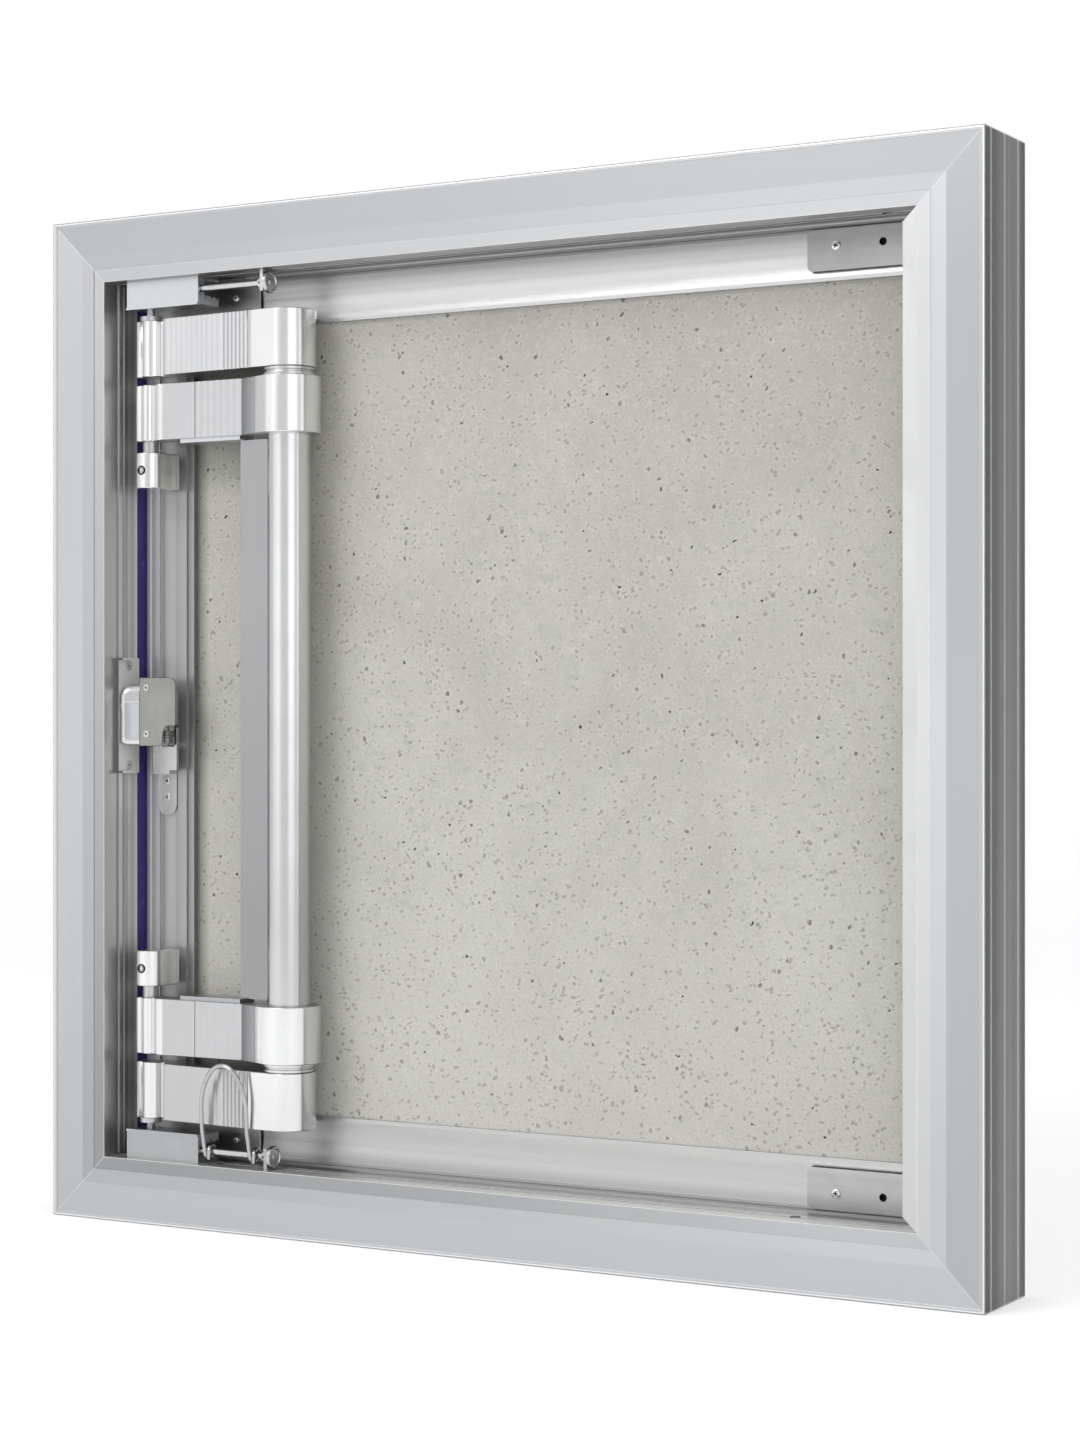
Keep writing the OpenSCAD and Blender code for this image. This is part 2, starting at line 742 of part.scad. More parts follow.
module latch_strip() color("silver") seat() {
    difference() {
        translate([wall_x, latch_strip_depth, latch_strip_z - latch_strip_h / 2])
            cube([latch_strip_t, latch_strip_w, latch_strip_h]);
        for (z = strip_screw_z)
            translate([wall_x - cut, latch_strip_depth + latch_strip_w / 2, z])
                rotate([0, 90, 0])
                    cylinder(r = screw_r + screw_play, h = latch_strip_t + 2 * cut);
    }
    for (z = [latch_strip_z - latch_strip_h / 2, latch_strip_z + latch_strip_h / 2 - strip_tab_t])
        translate([strip_x, latch_strip_depth, z])
            cube([strip_tab_l, strip_tab_w, strip_tab_t]);
}

module latch_screws() color("slategray") seat() {
    for (z = strip_screw_z)
        translate([strip_x, latch_strip_depth + latch_strip_w / 2, z])
            rotate([0, -90, 0])
                screw_up(latch_strip_t + chamber_wall + screw_reach);
    for (z = cover_screw_z)
        translate([cover_screw_x, housing_depth - cover_t, z])
            rotate([-90, 0, 0]) {
                translate([0, 0, -cover_screw_head_h])
                    cylinder(r = cover_screw_head_r, h = cover_screw_head_h);
                cylinder(r = cover_screw_r, h = cover_t + cover_screw_reach);
            }
}

// Outline of the cover, with a rounded top corner and a notch below
module cover_outline() difference() {
    translate([cover_x, housing_z]) square([housing_end - cover_x, housing_h]);
    translate([housing_end - notch_w, housing_z - cut]) square([notch_w + cut, notch_h + cut]);
    translate([housing_end - cover_r, housing_top - cover_r])
        difference() {
            square(cover_r + cut);
            circle(r = cover_r);
        }
    translate([housing_end - notch_w - cover_r, housing_z + cover_r])
        rotate(-90)
            difference() {
                square(cover_r + cut);
                circle(r = cover_r);
            }
}

// Outline of the hump at the wall as (depth, height), round towards the shaft at its top
module hump_outline() difference() {
    translate([hump_depth, housing_z + hump_inset])
        square([housing_depth + housing_t - hump_depth, housing_h - 2 * hump_inset]);
    translate([hump_depth + hump_round_r, housing_top - hump_inset - hump_round_r])
        rotate(90)
            difference() {
                square(hump_round_r + cut);
                circle(r = hump_round_r);
            }
}

module latch_housing() color("silver") seat() difference() {
    union() {
        along_y(housing_depth, housing_t) {
            cover_outline();
            translate([housing_x, housing_z]) square([hump_w + cut, housing_h]);
        }
        translate([housing_x, 0, 0]) along_x(hump_w) hump_outline();
    }
    translate([claw_x, claw_y, claw_z - claw_slot_play])
        cylinder(r = claw_r + claw_slot_play, h = claw_t + 2 * claw_slot_play);
    translate([claw_x, claw_y, claw_z])
        cylinder(r = spring_r + 2 * spring_wire_r, h = claw_t + claw_slot_play + spring_space);
    translate([claw_x, claw_y, housing_z - cut])
        cylinder(r = claw_pin_r + running_fit, h = claw_pin_l + cut);
    for (z = cover_screw_z)
        translate([cover_screw_x, housing_depth - cut, z])
            rotate([-90, 0, 0])
                cylinder(r = cover_screw_r + screw_play, h = cover_screw_reach + screw_play + cut);
}

module latch_cover() color("lightgray") seat() difference() {
    along_y(housing_depth - cover_t, cover_t) cover_outline();
    for (z = cover_screw_z)
        translate([cover_screw_x, housing_depth - cover_t - cut, z])
            rotate([-90, 0, 0])
                cylinder(r = cover_screw_r + screw_play, h = cover_t + 2 * cut);
}

// A wedge of a circle between two angles
module wedge(r, from, to) intersection() {
    circle(r = r);
    polygon([
        [0, 0],
        2 * r * [cos(from), sin(from)],
        2 * r * [cos((from + to) / 2), sin((from + to) / 2)],
        2 * r * [cos(to), sin(to)]
    ]);
}

module claw_plan() difference() {
    union() {
        circle(r = claw_hub_r);
        wedge(claw_r, claw_hook_end - claw_lap, claw_tail_end);
        difference() {
            wedge(claw_r, claw_hook_start, claw_hook_end);
            circle(r = claw_hook_r);
        }
    }
    circle(r = claw_pin_r + running_fit);
}

module latch_claw() color("darkgray") seat()
    translate([claw_x, claw_y, claw_z])
        linear_extrude(claw_t) claw_plan();

module claw_pin() color("dimgray") seat()
    translate([claw_x, claw_y, housing_z])
        cylinder(r = claw_pin_r, h = claw_pin_l);

module claw_spring() color("dimgray") seat()
    for (i = [0 : spring_turns - 1])
        translate([claw_x, claw_y, claw_z + claw_t + spring_wire_r + spring_play + i * spring_pitch])
            rotate_extrude()
                translate([spring_r, 0]) circle(r = spring_wire_r, $fn = spring_sides);

module striker_plate() color("silver") seat() difference() {
    foot_rear = door_rear - striker_foot_t;
    foot_round_z = striker_low - striker_foot_l + striker_foot_w / 2;
    union() {
        translate([striker_x, striker_rear, striker_low]) cube([striker_w, striker_t, striker_h]);
        translate([striker_x, striker_rear, striker_low - striker_t])
            cube([striker_shelf_w, door_rear - striker_rear, striker_t]);
        translate([striker_foot_x, foot_rear, foot_round_z])
            cube([striker_foot_w, striker_foot_t, striker_low - foot_round_z]);
        translate([striker_screw_x, foot_rear, foot_round_z])
            rotate([-90, 0, 0])
                cylinder(r = striker_foot_w / 2, h = striker_foot_t);
    }
    translate([window_x, striker_rear - cut, window_z]) cube([window_w, striker_t + 2 * cut, window_h]);
    for (z = striker_screw_z)
        translate([striker_screw_x, foot_rear - cut, z])
            rotate([-90, 0, 0])
                cylinder(r = screw_r + screw_play, h = striker_foot_t + 2 * cut);
}

module striker_screws() color("slategray") seat()
    for (z = striker_screw_z)
        translate([striker_screw_x, door_rear - striker_foot_t, z])
            rotate([-90, 0, 0])
                screw_up(striker_foot_t + flange_t - screw_end_play);

// Hinge arms, drawn about the pivot at the origin with the elbow on the X axis

module frame_arm_plan() {
    small = knuckle_r - flat_inset;
    large = frame_barrel_r - flat_inset;
    circle(r = knuckle_r);
    translate([arm_length, 0]) circle(r = frame_barrel_r);
    polygon([
        [-small * sin(arm_taper), -small * cos(arm_taper)],
        [arm_length - large * sin(arm_taper), -large * cos(arm_taper)],
        [arm_length - large * sin(arm_taper), large * cos(arm_taper)],
        [-small * sin(arm_taper), small * cos(arm_taper)]
    ]);
}

// A row of upright V grooves in a face at the given distance behind the pivot
module groove_row(start, pitch, count, width, z, height)
    for (i = [0 : count - 1])
        translate([start + i * pitch, -knuckle_r, z - cut])
            rotate(45)
                translate([-width / 2, -width / 2, 0])
                    cube([width, width, height + 2 * cut]);

module frame_arm() translate([pivot_x, pivot_y, 0]) difference() {
    translate([0, 0, frame_arm_z]) linear_extrude(frame_arm_h) frame_arm_plan();
    rotate(-arm_taper) {
        groove_row(rib_start, rib_pitch, rib_count, rib_groove_w, frame_arm_z, frame_arm_h);
        groove_row(flute_start, flute_pitch, flute_count, flute_w, frame_arm_z, frame_arm_h);
    }
    translate([0, 0, frame_arm_top - bush_depth])
        cylinder(r = bush_shank_r + screw_play, h = bush_depth + cut);
    translate([arm_length, 0, frame_arm_z - cut])
        cylinder(r = spindle_r + running_fit, h = frame_arm_h - barrel_roof + cut);
}

module upper_frame_arm() color("gainsboro") seat() frame_arm();

module lower_frame_arm() color("gainsboro") seat() mirror([0, 0, 1]) frame_arm();

module arm_bush() difference() {
    union() {
        translate([0, 0, -bush_depth]) cylinder(r = bush_shank_r, h = bush_depth);
        cylinder(r = bush_r, h = bush_h);
    }
    translate([0, 0, -bush_depth - cut])
        cylinder(r = frame_pin_r + running_fit, h = bush_depth + bush_h + 2 * cut);
}

module arm_bushes() color("whitesmoke") seat() both_halves()
    translate([pivot_x, pivot_y, frame_arm_top])
        arm_bush();

// Where the line from the shoulder touches the collar
shoulder_run = [link_shoulder_reach, knuckle_r];
shoulder_turn = atan2(shoulder_run[1], shoulder_run[0]) - asin(link_collar_r / norm(shoulder_run));
shoulder_l = sqrt(norm(shoulder_run) * norm(shoulder_run) - link_collar_r * link_collar_r);
collar_touch = [
    link_shoulder + shoulder_l * cos(shoulder_turn),
    -knuckle_r + shoulder_l * sin(shoulder_turn)
];

module link_plan() {
    translate([arm_length, 0]) circle(r = link_collar_r);
    polygon([
        [link_split, -knuckle_r],
        [link_shoulder, -knuckle_r],
        collar_touch,
        [collar_touch[0], -collar_touch[1]],
        [link_shoulder, knuckle_r],
        [link_split, knuckle_r]
    ]);
}

module link_arm() translate([pivot_x, pivot_y, 0]) difference() {
    translate([0, 0, link_arm_z]) linear_extrude(link_arm_h) link_plan();
    groove_row(
        link_split + soft_flute_pitch, soft_flute_pitch, soft_flute_count,
        flute_w, link_arm_z, link_arm_h
    );
    translate([arm_length, 0, link_arm_z - cut])
        cylinder(r = tube_r + screw_play, h = link_arm_h + 2 * cut);
    translate([link_split - cut, -tongue_t / 2 - tongue_play, link_arm_z + tongue_inset - tongue_play])
        cube([
            tongue_l + tongue_play + cut,
            tongue_t + 2 * tongue_play,
            link_arm_h - 2 * tongue_inset + 2 * tongue_play
        ]);
}

module upper_link_arm() color("gainsboro") seat() link_arm();

module lower_link_arm() color("gainsboro") seat() mirror([0, 0, 1]) link_arm();

module link_knuckle() translate([pivot_x, pivot_y, 0]) difference() {
    union() {
        translate([0, 0, link_arm_z]) linear_extrude(link_arm_h) union() {
            circle(r = knuckle_r);
            translate([0, -knuckle_r]) square([link_split, 2 * knuckle_r]);
        }
        translate([link_split, -tongue_t / 2, link_arm_z + tongue_inset])
            cube([tongue_l, tongue_t, link_arm_h - 2 * tongue_inset]);
    }
    translate([0, 0, link_arm_z - cut])
        cylinder(r = door_pin_r + running_fit, h = link_arm_h - barrel_roof + cut);
}

module upper_link_knuckle() color("gainsboro") seat() link_knuckle();

module lower_link_knuckle() color("gainsboro") seat() mirror([0, 0, 1]) link_knuckle();

module link_plates() color("lightgray") seat() both_halves()
    translate([pivot_x + link_plate_start, pivot_y - link_plate_w / 2, link_arm_z - link_plate_t])
        cube([link_shoulder - link_plate_end_gap - link_plate_start, link_plate_w, link_plate_t]);

module hinge_tube() color("white") seat() translate([elbow_x, pivot_y, 0]) difference() {
    union() {
        translate([0, 0, -link_arm_top]) cylinder(r = tube_r, h = 2 * link_arm_top);
        translate([-tube_fin_reach, -tube_fin_t / 2, -link_arm_z + link_plate_t])
            cube([tube_fin_reach, tube_fin_t, 2 * (link_arm_z - link_plate_t)]);
    }
    translate([0, 0, -link_arm_top - cut])
        cylinder(r = tube_r - tube_wall, h = 2 * link_arm_top + 2 * cut);
}

module elbow_spindles() color("dimgray") seat() both_halves() translate([elbow_x, pivot_y, 0]) {
    translate([0, 0, link_arm_top - spindle_plug_l])
        cylinder(r = tube_r - tube_wall - screw_play, h = spindle_plug_l);
    translate([0, 0, link_arm_top])
        cylinder(r = spindle_r, h = arm_gap + frame_arm_h - barrel_roof - ring_play);
}

module elbow_ring() difference() {
    cylinder(r = ring_r, h = arm_gap - ring_play);
    translate([0, 0, -cut]) cylinder(r = spindle_r + screw_play, h = arm_gap + 2 * cut);
}

module elbow_rings() color("gray") seat() both_halves()
    translate([elbow_x, pivot_y, link_arm_top])
        elbow_ring();

module door_pins() color("silver") seat() both_halves()
    translate([pivot_x, pivot_y, clamp_z + clamp_floor])
        cylinder(r = door_pin_r, h = link_arm_top - barrel_roof - ring_play - clamp_z - clamp_floor);

// The clamp holds the door pin in its nose and stands on the door's stile
module door_clamp() difference() {
    union() {
        translate([pivot_x, pivot_y, clamp_z]) cylinder(r = clamp_r, h = clamp_h);
        translate([pivot_x - clamp_r, pivot_y, clamp_z]) cube([2 * clamp_r, clamp_body_l, clamp_h]);
        translate([pivot_x - clamp_foot_start, pivot_y + clamp_body_l - cut, clamp_z + clamp_foot_inset])
            cube([clamp_foot_w, pivot_standoff - clamp_body_l + cut, clamp_h - 2 * clamp_foot_inset]);
    }
    translate([pivot_x, pivot_y, clamp_z + clamp_floor])
        cylinder(r = door_pin_r + screw_play, h = clamp_h);
    translate([pivot_x, pivot_y, clamp_z + clamp_h / 2])
        rotate([0, -90, clamp_screw_turn])
            cylinder(r = clamp_screw_r + screw_play, h = clamp_r + cut);
}

module upper_door_clamp() color("silver") seat() door_clamp();

module lower_door_clamp() color("silver") seat() mirror([0, 0, 1]) door_clamp();

module clamp_screws() color("dimgray") seat() both_halves()
    translate([pivot_x, pivot_y, clamp_z + clamp_h / 2])
        rotate([0, -90, clamp_screw_turn])
            translate([0, 0, door_pin_r + screw_play])
                cylinder(r = clamp_screw_r, h = clamp_r - door_pin_r - clamp_screw_sink);

// Door profiles as (distance inward from the door's edge, depth)

module edge_outline(width) {
    translate([0, door_rear]) square([width, flange_t]);
    translate([0, door_rear]) square([edge_wall_t, door_t]);
}

module rail_outline() difference() {
    union() {
        edge_outline(rail_w);
        translate([rail_ridge, door_rear - ridge_h]) square([rail_w - rail_ridge, ridge_h + cut]);
    }
    cove_start = rail_ridge + rail_ridge_top_w;
    cove_half = (rail_w - rail_ridge_edge_w - cove_start) / 2;
    translate([cove_start + cove_half, door_rear - ridge_h - sqrt(cove_r * cove_r - cove_half * cove_half)])
        circle(r = cove_r);
}

module stile_outline(width) difference() {
    union() {
        edge_outline(width);
        translate([stile_lip, door_rear - stile_lip_h]) square([stile_lip_w, stile_lip_h + cut]);
        if (stile_strip + stile_strip_w < width)
            translate([stile_strip, door_rear - ridge_h]) square([stile_strip_w, ridge_h + cut]);
    }
    translate([stile_groove, door_rear - cut]) square([stile_groove_w, stile_groove_depth + cut]);
}

// The ridges end inside the opening, so that the door meets the seal with its flat flange
module seal_space() along_y(0, door_rear) difference() {
    edge = wall_x + opening_play;
    translate([0, -frame_h / 2]) square([frame_w, frame_h]);
    translate([edge, -frame_h / 2 + edge]) square([frame_w - 2 * edge, frame_h - 2 * edge]);
}

// A rail lies along X below the given outline of its mitred ends
module door_rail() difference() {
    intersection() {
        translate([door_x, 0, door_half_h])
            along_x(door_free_x - door_x)
                rotate(-90)
                    rail_outline();
        along_y(0, frame_depth)
            polygon([
                [door_x, door_half_h],
                [door_free_x, door_half_h],
                [free_stile_x, rail_z],
                [hinge_stile_x, rail_z]
            ]);
    }
    seal_space();
}

module door_stile(edge_x, inner_x, width) difference() {
    intersection() {
        translate([0, 0, -door_half_h])
            linear_extrude(2 * door_half_h)
                translate([edge_x, 0])
                    stile_outline(width);
        along_y(0, frame_depth)
            polygon([
                [edge_x, -door_half_h],
                [edge_x, door_half_h],
                [inner_x, rail_z],
                [inner_x, -rail_z]
            ]);
    }
    seal_space();
}

module rail_with_holes() difference() {
    door_rail();
    for (x = corner_screw_x)
        translate([x, plate_rear, plate_screw_z])
            rotate([-90, 0, 0])
                cylinder(r = screw_r + screw_play, h = corner_plate_t + ridge_h + flange_t + cut);
}

corner_screw_x = [
    plate_end + hinge_plate_shift + corner_plate_l - corner_screw_inset,
    frame_w - plate_end - corner_plate_l + corner_screw_inset
];

module door_hinge_stile() color("darkgray") seat() difference() {
    door_stile(door_x, hinge_stile_x, hinge_stile_w);
    for (z = striker_screw_z)
        translate([striker_screw_x, door_rear - cut, z])
            rotate([-90, 0, 0])
                cylinder(r = screw_r + screw_play, h = flange_t + 2 * cut);
}

module door_free_stile() color("darkgray") seat() opening_side()
    door_stile(frame_w - door_free_x, frame_w - free_stile_x, free_stile_w);

module door_top_rail() color("lightgray") seat() rail_with_holes();

module door_bottom_rail() color("lightgray") seat() mirror([0, 0, 1]) rail_with_holes();

module door_board() color("tan") seat() difference() {
    inset = edge_wall_t + board_clearance;
    translate([door_x + inset, door_rear + flange_t, -door_half_h + inset])
        cube([door_free_x - door_x - 2 * inset, door_t - flange_t, 2 * (door_half_h - inset)]);
    translate([hinge_stile_x, door_rear + flange_t - cut, -rail_z])
        cube([board_groove_w, board_groove_depth + cut, 2 * rail_z]);
}

module plate_hole(inset, r)
    translate([plate_end + corner_plate_l - inset, plate_rear - cut, plate_screw_z])
        rotate([-90, 0, 0])
            cylinder(r = r, h = corner_plate_t + 2 * cut);

module corner_plate() difference() {
    along_y(plate_rear, corner_plate_t) difference() {
        translate([plate_end, plate_top - corner_plate_h]) square([corner_plate_l, corner_plate_h]);
        for (side = [0, 1])
            translate([plate_end + corner_plate_l - corner_plate_r, plate_top - corner_plate_h / 2])
                mirror([0, side])
                    translate([0, corner_plate_h / 2 - corner_plate_r])
                        difference() {
                            square(corner_plate_r + cut);
                            circle(r = corner_plate_r);
                        }
    }
    plate_hole(corner_screw_inset, screw_r + screw_play);
    plate_hole(corner_hole_inset, plate_hole_r);
}

module hinge_side_plate() translate([hinge_plate_shift, 0, 0]) corner_plate();

module corner_plate_upper_hinge() color("gray") seat() hinge_side_plate();

module corner_plate_lower_hinge() color("gray") seat() mirror([0, 0, 1]) hinge_side_plate();

module corner_plate_upper_free() color("gray") seat() opening_side() corner_plate();

module corner_plate_lower_free() color("gray") seat() mirror([0, 0, 1]) opening_side() corner_plate();

module corner_plate_screws() color("slategray") seat() both_halves()
    for (x = corner_screw_x)
        translate([x, plate_rear, plate_screw_z])
            rotate([-90, 0, 0])
                screw_up(corner_plate_t + ridge_h + flange_t - screw_end_play);

frame_hinge_stile();
frame_free_stile();
frame_top_rail();
frame_bottom_rail();
corner_keys();
catch_strip();
door_seal();
upper_pivot_bracket();
lower_pivot_bracket();
bracket_screws();
frame_pivot_pins();
upper_rod_guide();
lower_rod_guide();
upper_release_pin();
lower_release_pin();
wire_bail();
latch_strip();
latch_housing();
latch_cover();
latch_screws();
latch_claw();
claw_pin();
claw_spring();
upper_frame_arm();
lower_frame_arm();
arm_bushes();
upper_link_arm();
lower_link_arm();
upper_link_knuckle();
lower_link_knuckle();
link_plates();
hinge_tube();
elbow_spindles();
elbow_rings();
door_pins();
upper_door_clamp();
lower_door_clamp();
clamp_screws();
door_hinge_stile();
door_free_stile();
door_top_rail();
door_bottom_rail();
door_board();
corner_plate_upper_hinge();
corner_plate_lower_hinge();
corner_plate_upper_free();
corner_plate_lower_free();
corner_plate_screws();
striker_plate();
striker_screws();
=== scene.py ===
import math

import bmesh
import bpy
from mathutils import Matrix, Vector


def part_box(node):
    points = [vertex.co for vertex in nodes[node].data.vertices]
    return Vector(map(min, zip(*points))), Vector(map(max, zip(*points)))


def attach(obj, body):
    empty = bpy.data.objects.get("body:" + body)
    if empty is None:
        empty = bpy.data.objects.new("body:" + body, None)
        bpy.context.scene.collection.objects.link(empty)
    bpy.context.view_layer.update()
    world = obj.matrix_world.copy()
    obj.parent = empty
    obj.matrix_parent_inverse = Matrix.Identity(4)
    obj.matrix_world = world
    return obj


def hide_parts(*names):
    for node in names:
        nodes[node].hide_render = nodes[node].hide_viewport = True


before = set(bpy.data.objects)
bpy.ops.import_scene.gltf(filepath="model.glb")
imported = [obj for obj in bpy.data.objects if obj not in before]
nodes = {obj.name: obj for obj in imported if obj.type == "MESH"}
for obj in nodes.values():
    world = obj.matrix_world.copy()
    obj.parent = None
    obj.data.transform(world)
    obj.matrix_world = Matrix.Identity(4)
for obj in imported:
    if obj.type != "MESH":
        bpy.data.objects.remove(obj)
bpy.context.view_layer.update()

# Places below are in millimetres from the frame's rear hinge-side edge, as in the part's source
HALF_W = 250.0
HALF_DEPTH = 23.5

# The axes of the hinge: frame and door pivot, elbow, and their depth
PIVOT_X, ELBOW_X, AXIS_Y = 47.7, 132.1, 18.0

BLACK = (0.0, 0.0, 0.0, 1.0)
WHITE = (1.0, 1.0, 1.0, 1.0)
EVEN = (1, 1, 1)


def at(x, y, z):
    """A place in millimetres as the row's metres."""
    return Vector(((x - HALF_W) / 1000, (y - HALF_DEPTH) / 1000, z / 1000))


def tone(r, g, b):
    """A screen colour, 0 to 255, as the linear colour that a shader takes."""
    def one(v):
        v /= 255
        return v / 12.92 if v <= 0.04045 else ((v + 0.055) / 1.055) ** 2.4
    return (one(r), one(g), one(b), 1.0)


def toned(colour, share, lift=0.0):
    """The colour times a share, plus a lift."""
    return tuple(min(1.0, c * share + lift) for c in colour[:3]) + (1.0,)


def grey(level):
    """A slightly cool grey."""
    return (level * 0.985, level, level * 1.02, 1.0)


# Materials

class Look:
    """A node-based material whose patterns follow the row's frame, in metres."""

    def __init__(self, name):
        self.mat = bpy.data.materials.new(name)
        self.mat.use_nodes = True
        self.nodes = self.mat.node_tree.nodes
        self.links = self.mat.node_tree.links
        self.bsdf = next(n for n in self.nodes if n.type == "BSDF_PRINCIPLED")
        self.place = self.nodes.new("ShaderNodeTexCoord").outputs["Object"]

    def put(self, socket, value):
        if isinstance(value, bpy.types.NodeSocket):
            self.links.new(value, socket)
        else:
            socket.default_value = value

    def stretched(self, scale, turn=0.0):
        """The place, squeezed along the axes of a frame that is turned about the depth."""
        node = self.nodes.new("ShaderNodeMapping")
        node.vector_type = "TEXTURE"
        node.inputs["Rotation"].default_value = (0, turn, 0)
        node.inputs["Scale"].default_value = tuple(1 / s for s in scale)
        self.links.new(self.place, node.inputs["Vector"])
        return node.outputs["Vector"]

    def warp(self, scale, reach):
        """Shifts the place by up to the reach, so that patterns laid over it come out ragged."""
        node = self.nodes.new("ShaderNodeTexNoise")
        self.links.new(self.place, node.inputs["Vector"])
        node.inputs["Scale"].default_value = scale
        node.inputs["Detail"].default_value = 2.0
        shift = self.nodes.new("ShaderNodeVectorMath")
        shift.operation = "MULTIPLY_ADD"
        self.links.new(node.outputs["Color"], shift.inputs[0])
        shift.inputs[1].default_value = (reach, reach, reach)
        self.links.new(self.place, shift.inputs[2])
        self.place = shift.outputs[0]

    def noise(self, scale, stretch=EVEN, detail=4.0, rough=0.55, twist=0.0):
        node = self.nodes.new("ShaderNodeTexNoise")
        self.links.new(self.stretched(stretch), node.inputs["Vector"])
        node.inputs["Scale"].default_value = scale
        node.inputs["Detail"].default_value = detail
        node.inputs["Roughness"].default_value = rough
        node.inputs["Distortion"].default_value = twist
        return node.outputs["Fac"]

    def cells(self, scale, stretch=EVEN, turn=0.0):
        node = self.nodes.new("ShaderNodeTexVoronoi")
        self.links.new(self.stretched(stretch, turn), node.inputs["Vector"])
        node.inputs["Scale"].default_value = scale
        return node.outputs["Distance"]

    def span(self, value, low, high, to_low=0.0, to_high=1.0):
        node = self.nodes.new("ShaderNodeMapRange")
        self.links.new(value, node.inputs["Value"])
        node.inputs["From Min"].default_value = low
        node.inputs["From Max"].default_value = high
        node.inputs["To Min"].default_value = to_low
        node.inputs["To Max"].default_value = to_high
        return node.outputs["Result"]

    def calc(self, operation, a, b=0.0):
        node = self.nodes.new("ShaderNodeMath")
        node.operation = operation
        self.put(node.inputs[0], a)
        self.put(node.inputs[1], b)
        return node.outputs[0]

    def mix(self, share, a, b):
        node = self.nodes.new("ShaderNodeMix")
        node.data_type = "RGBA"
        self.put(node.inputs["Factor"], share)
        self.put(node.inputs["A"], a)
        self.put(node.inputs["B"], b)
        return node.outputs["Result"]

    def steps(self, value, low, high, stops):
        """A share that follows the stops, given as (place, share) between low and high."""
        node = self.nodes.new("ShaderNodeValToRGB")
        self.links.new(self.span(value, low, high), node.inputs["Fac"])
        ramp = node.color_ramp
        for i, (place, share) in enumerate(stops):
            where = (place - low) / (high - low)
            stop = ramp.elements[i] if i < 2 else ramp.elements.new(where)
            stop.position = where
            stop.color = (share, share, share, 1.0)
        return node.outputs["Color"]

    def axis(self, name):
        node = self.nodes.new("ShaderNodeSeparateXYZ")
        self.links.new(self.place, node.inputs[0])
        return node.outputs[name]

    def off_centre(self):
        """The larger of the distances from the panel's centre along X and along Z."""
        along, up = self.calc("ABSOLUTE", self.axis("X")), self.calc("ABSOLUTE", self.axis("Z"))
        return self.calc("MAXIMUM", along, up)

    def edges(self, radius=0.0004):
        """1 within the radius of an edge where two faces meet, 0 on flats."""
        soft = self.nodes.new("ShaderNodeBevel")
        soft.samples = 4
        soft.inputs["Radius"].default_value = radius
        plain = self.nodes.new("ShaderNodeNewGeometry")
        meet = self.nodes.new("ShaderNodeVectorMath")
        meet.operation = "DOT_PRODUCT"
        self.links.new(soft.outputs["Normal"], meet.inputs[0])
        self.links.new(plain.outputs["Normal"], meet.inputs[1])
        flat, bent = 0.985, 0.86
        return self.span(meet.outputs["Value"], flat, bent)

    def crevice(self):
        """1 deep in a groove or an inner corner, 0 on open faces."""
        node = self.nodes.new("ShaderNodeAmbientOcclusion")
        node.samples = 4
        node.inputs["Distance"].default_value = 0.003
        open_face, deep = 0.5, 0.2
        return self.span(node.outputs["AO"], open_face, deep)

    def bump(self, height, strength, distance):
        node = self.nodes.new("ShaderNodeBump")
        node.inputs["Strength"].default_value = strength
        node.inputs["Distance"].default_value = distance
        self.links.new(height, node.inputs["Height"])
        if self.bsdf.inputs["Normal"].links:
            self.links.new(self.bsdf.inputs["Normal"].links[0].from_socket, node.inputs["Normal"])
        self.links.new(node.outputs["Normal"], self.bsdf.inputs["Normal"])

    def rounded(self, radius):
        """Rounds the look of a sharp edge by this radius."""
        node = self.nodes.new("ShaderNodeBevel")
        node.samples = 4
        node.inputs["Radius"].default_value = radius
        self.links.new(node.outputs["Normal"], self.bsdf.inputs["Normal"])


GRAIN = {"x": (0.03, 1, 1), "z": (1, 1, 0.03)}
FINE_GRAIN, BROAD_GRAIN, CLOUDS = 2600, 260, 22
EDGE_RADIUS = 0.00025


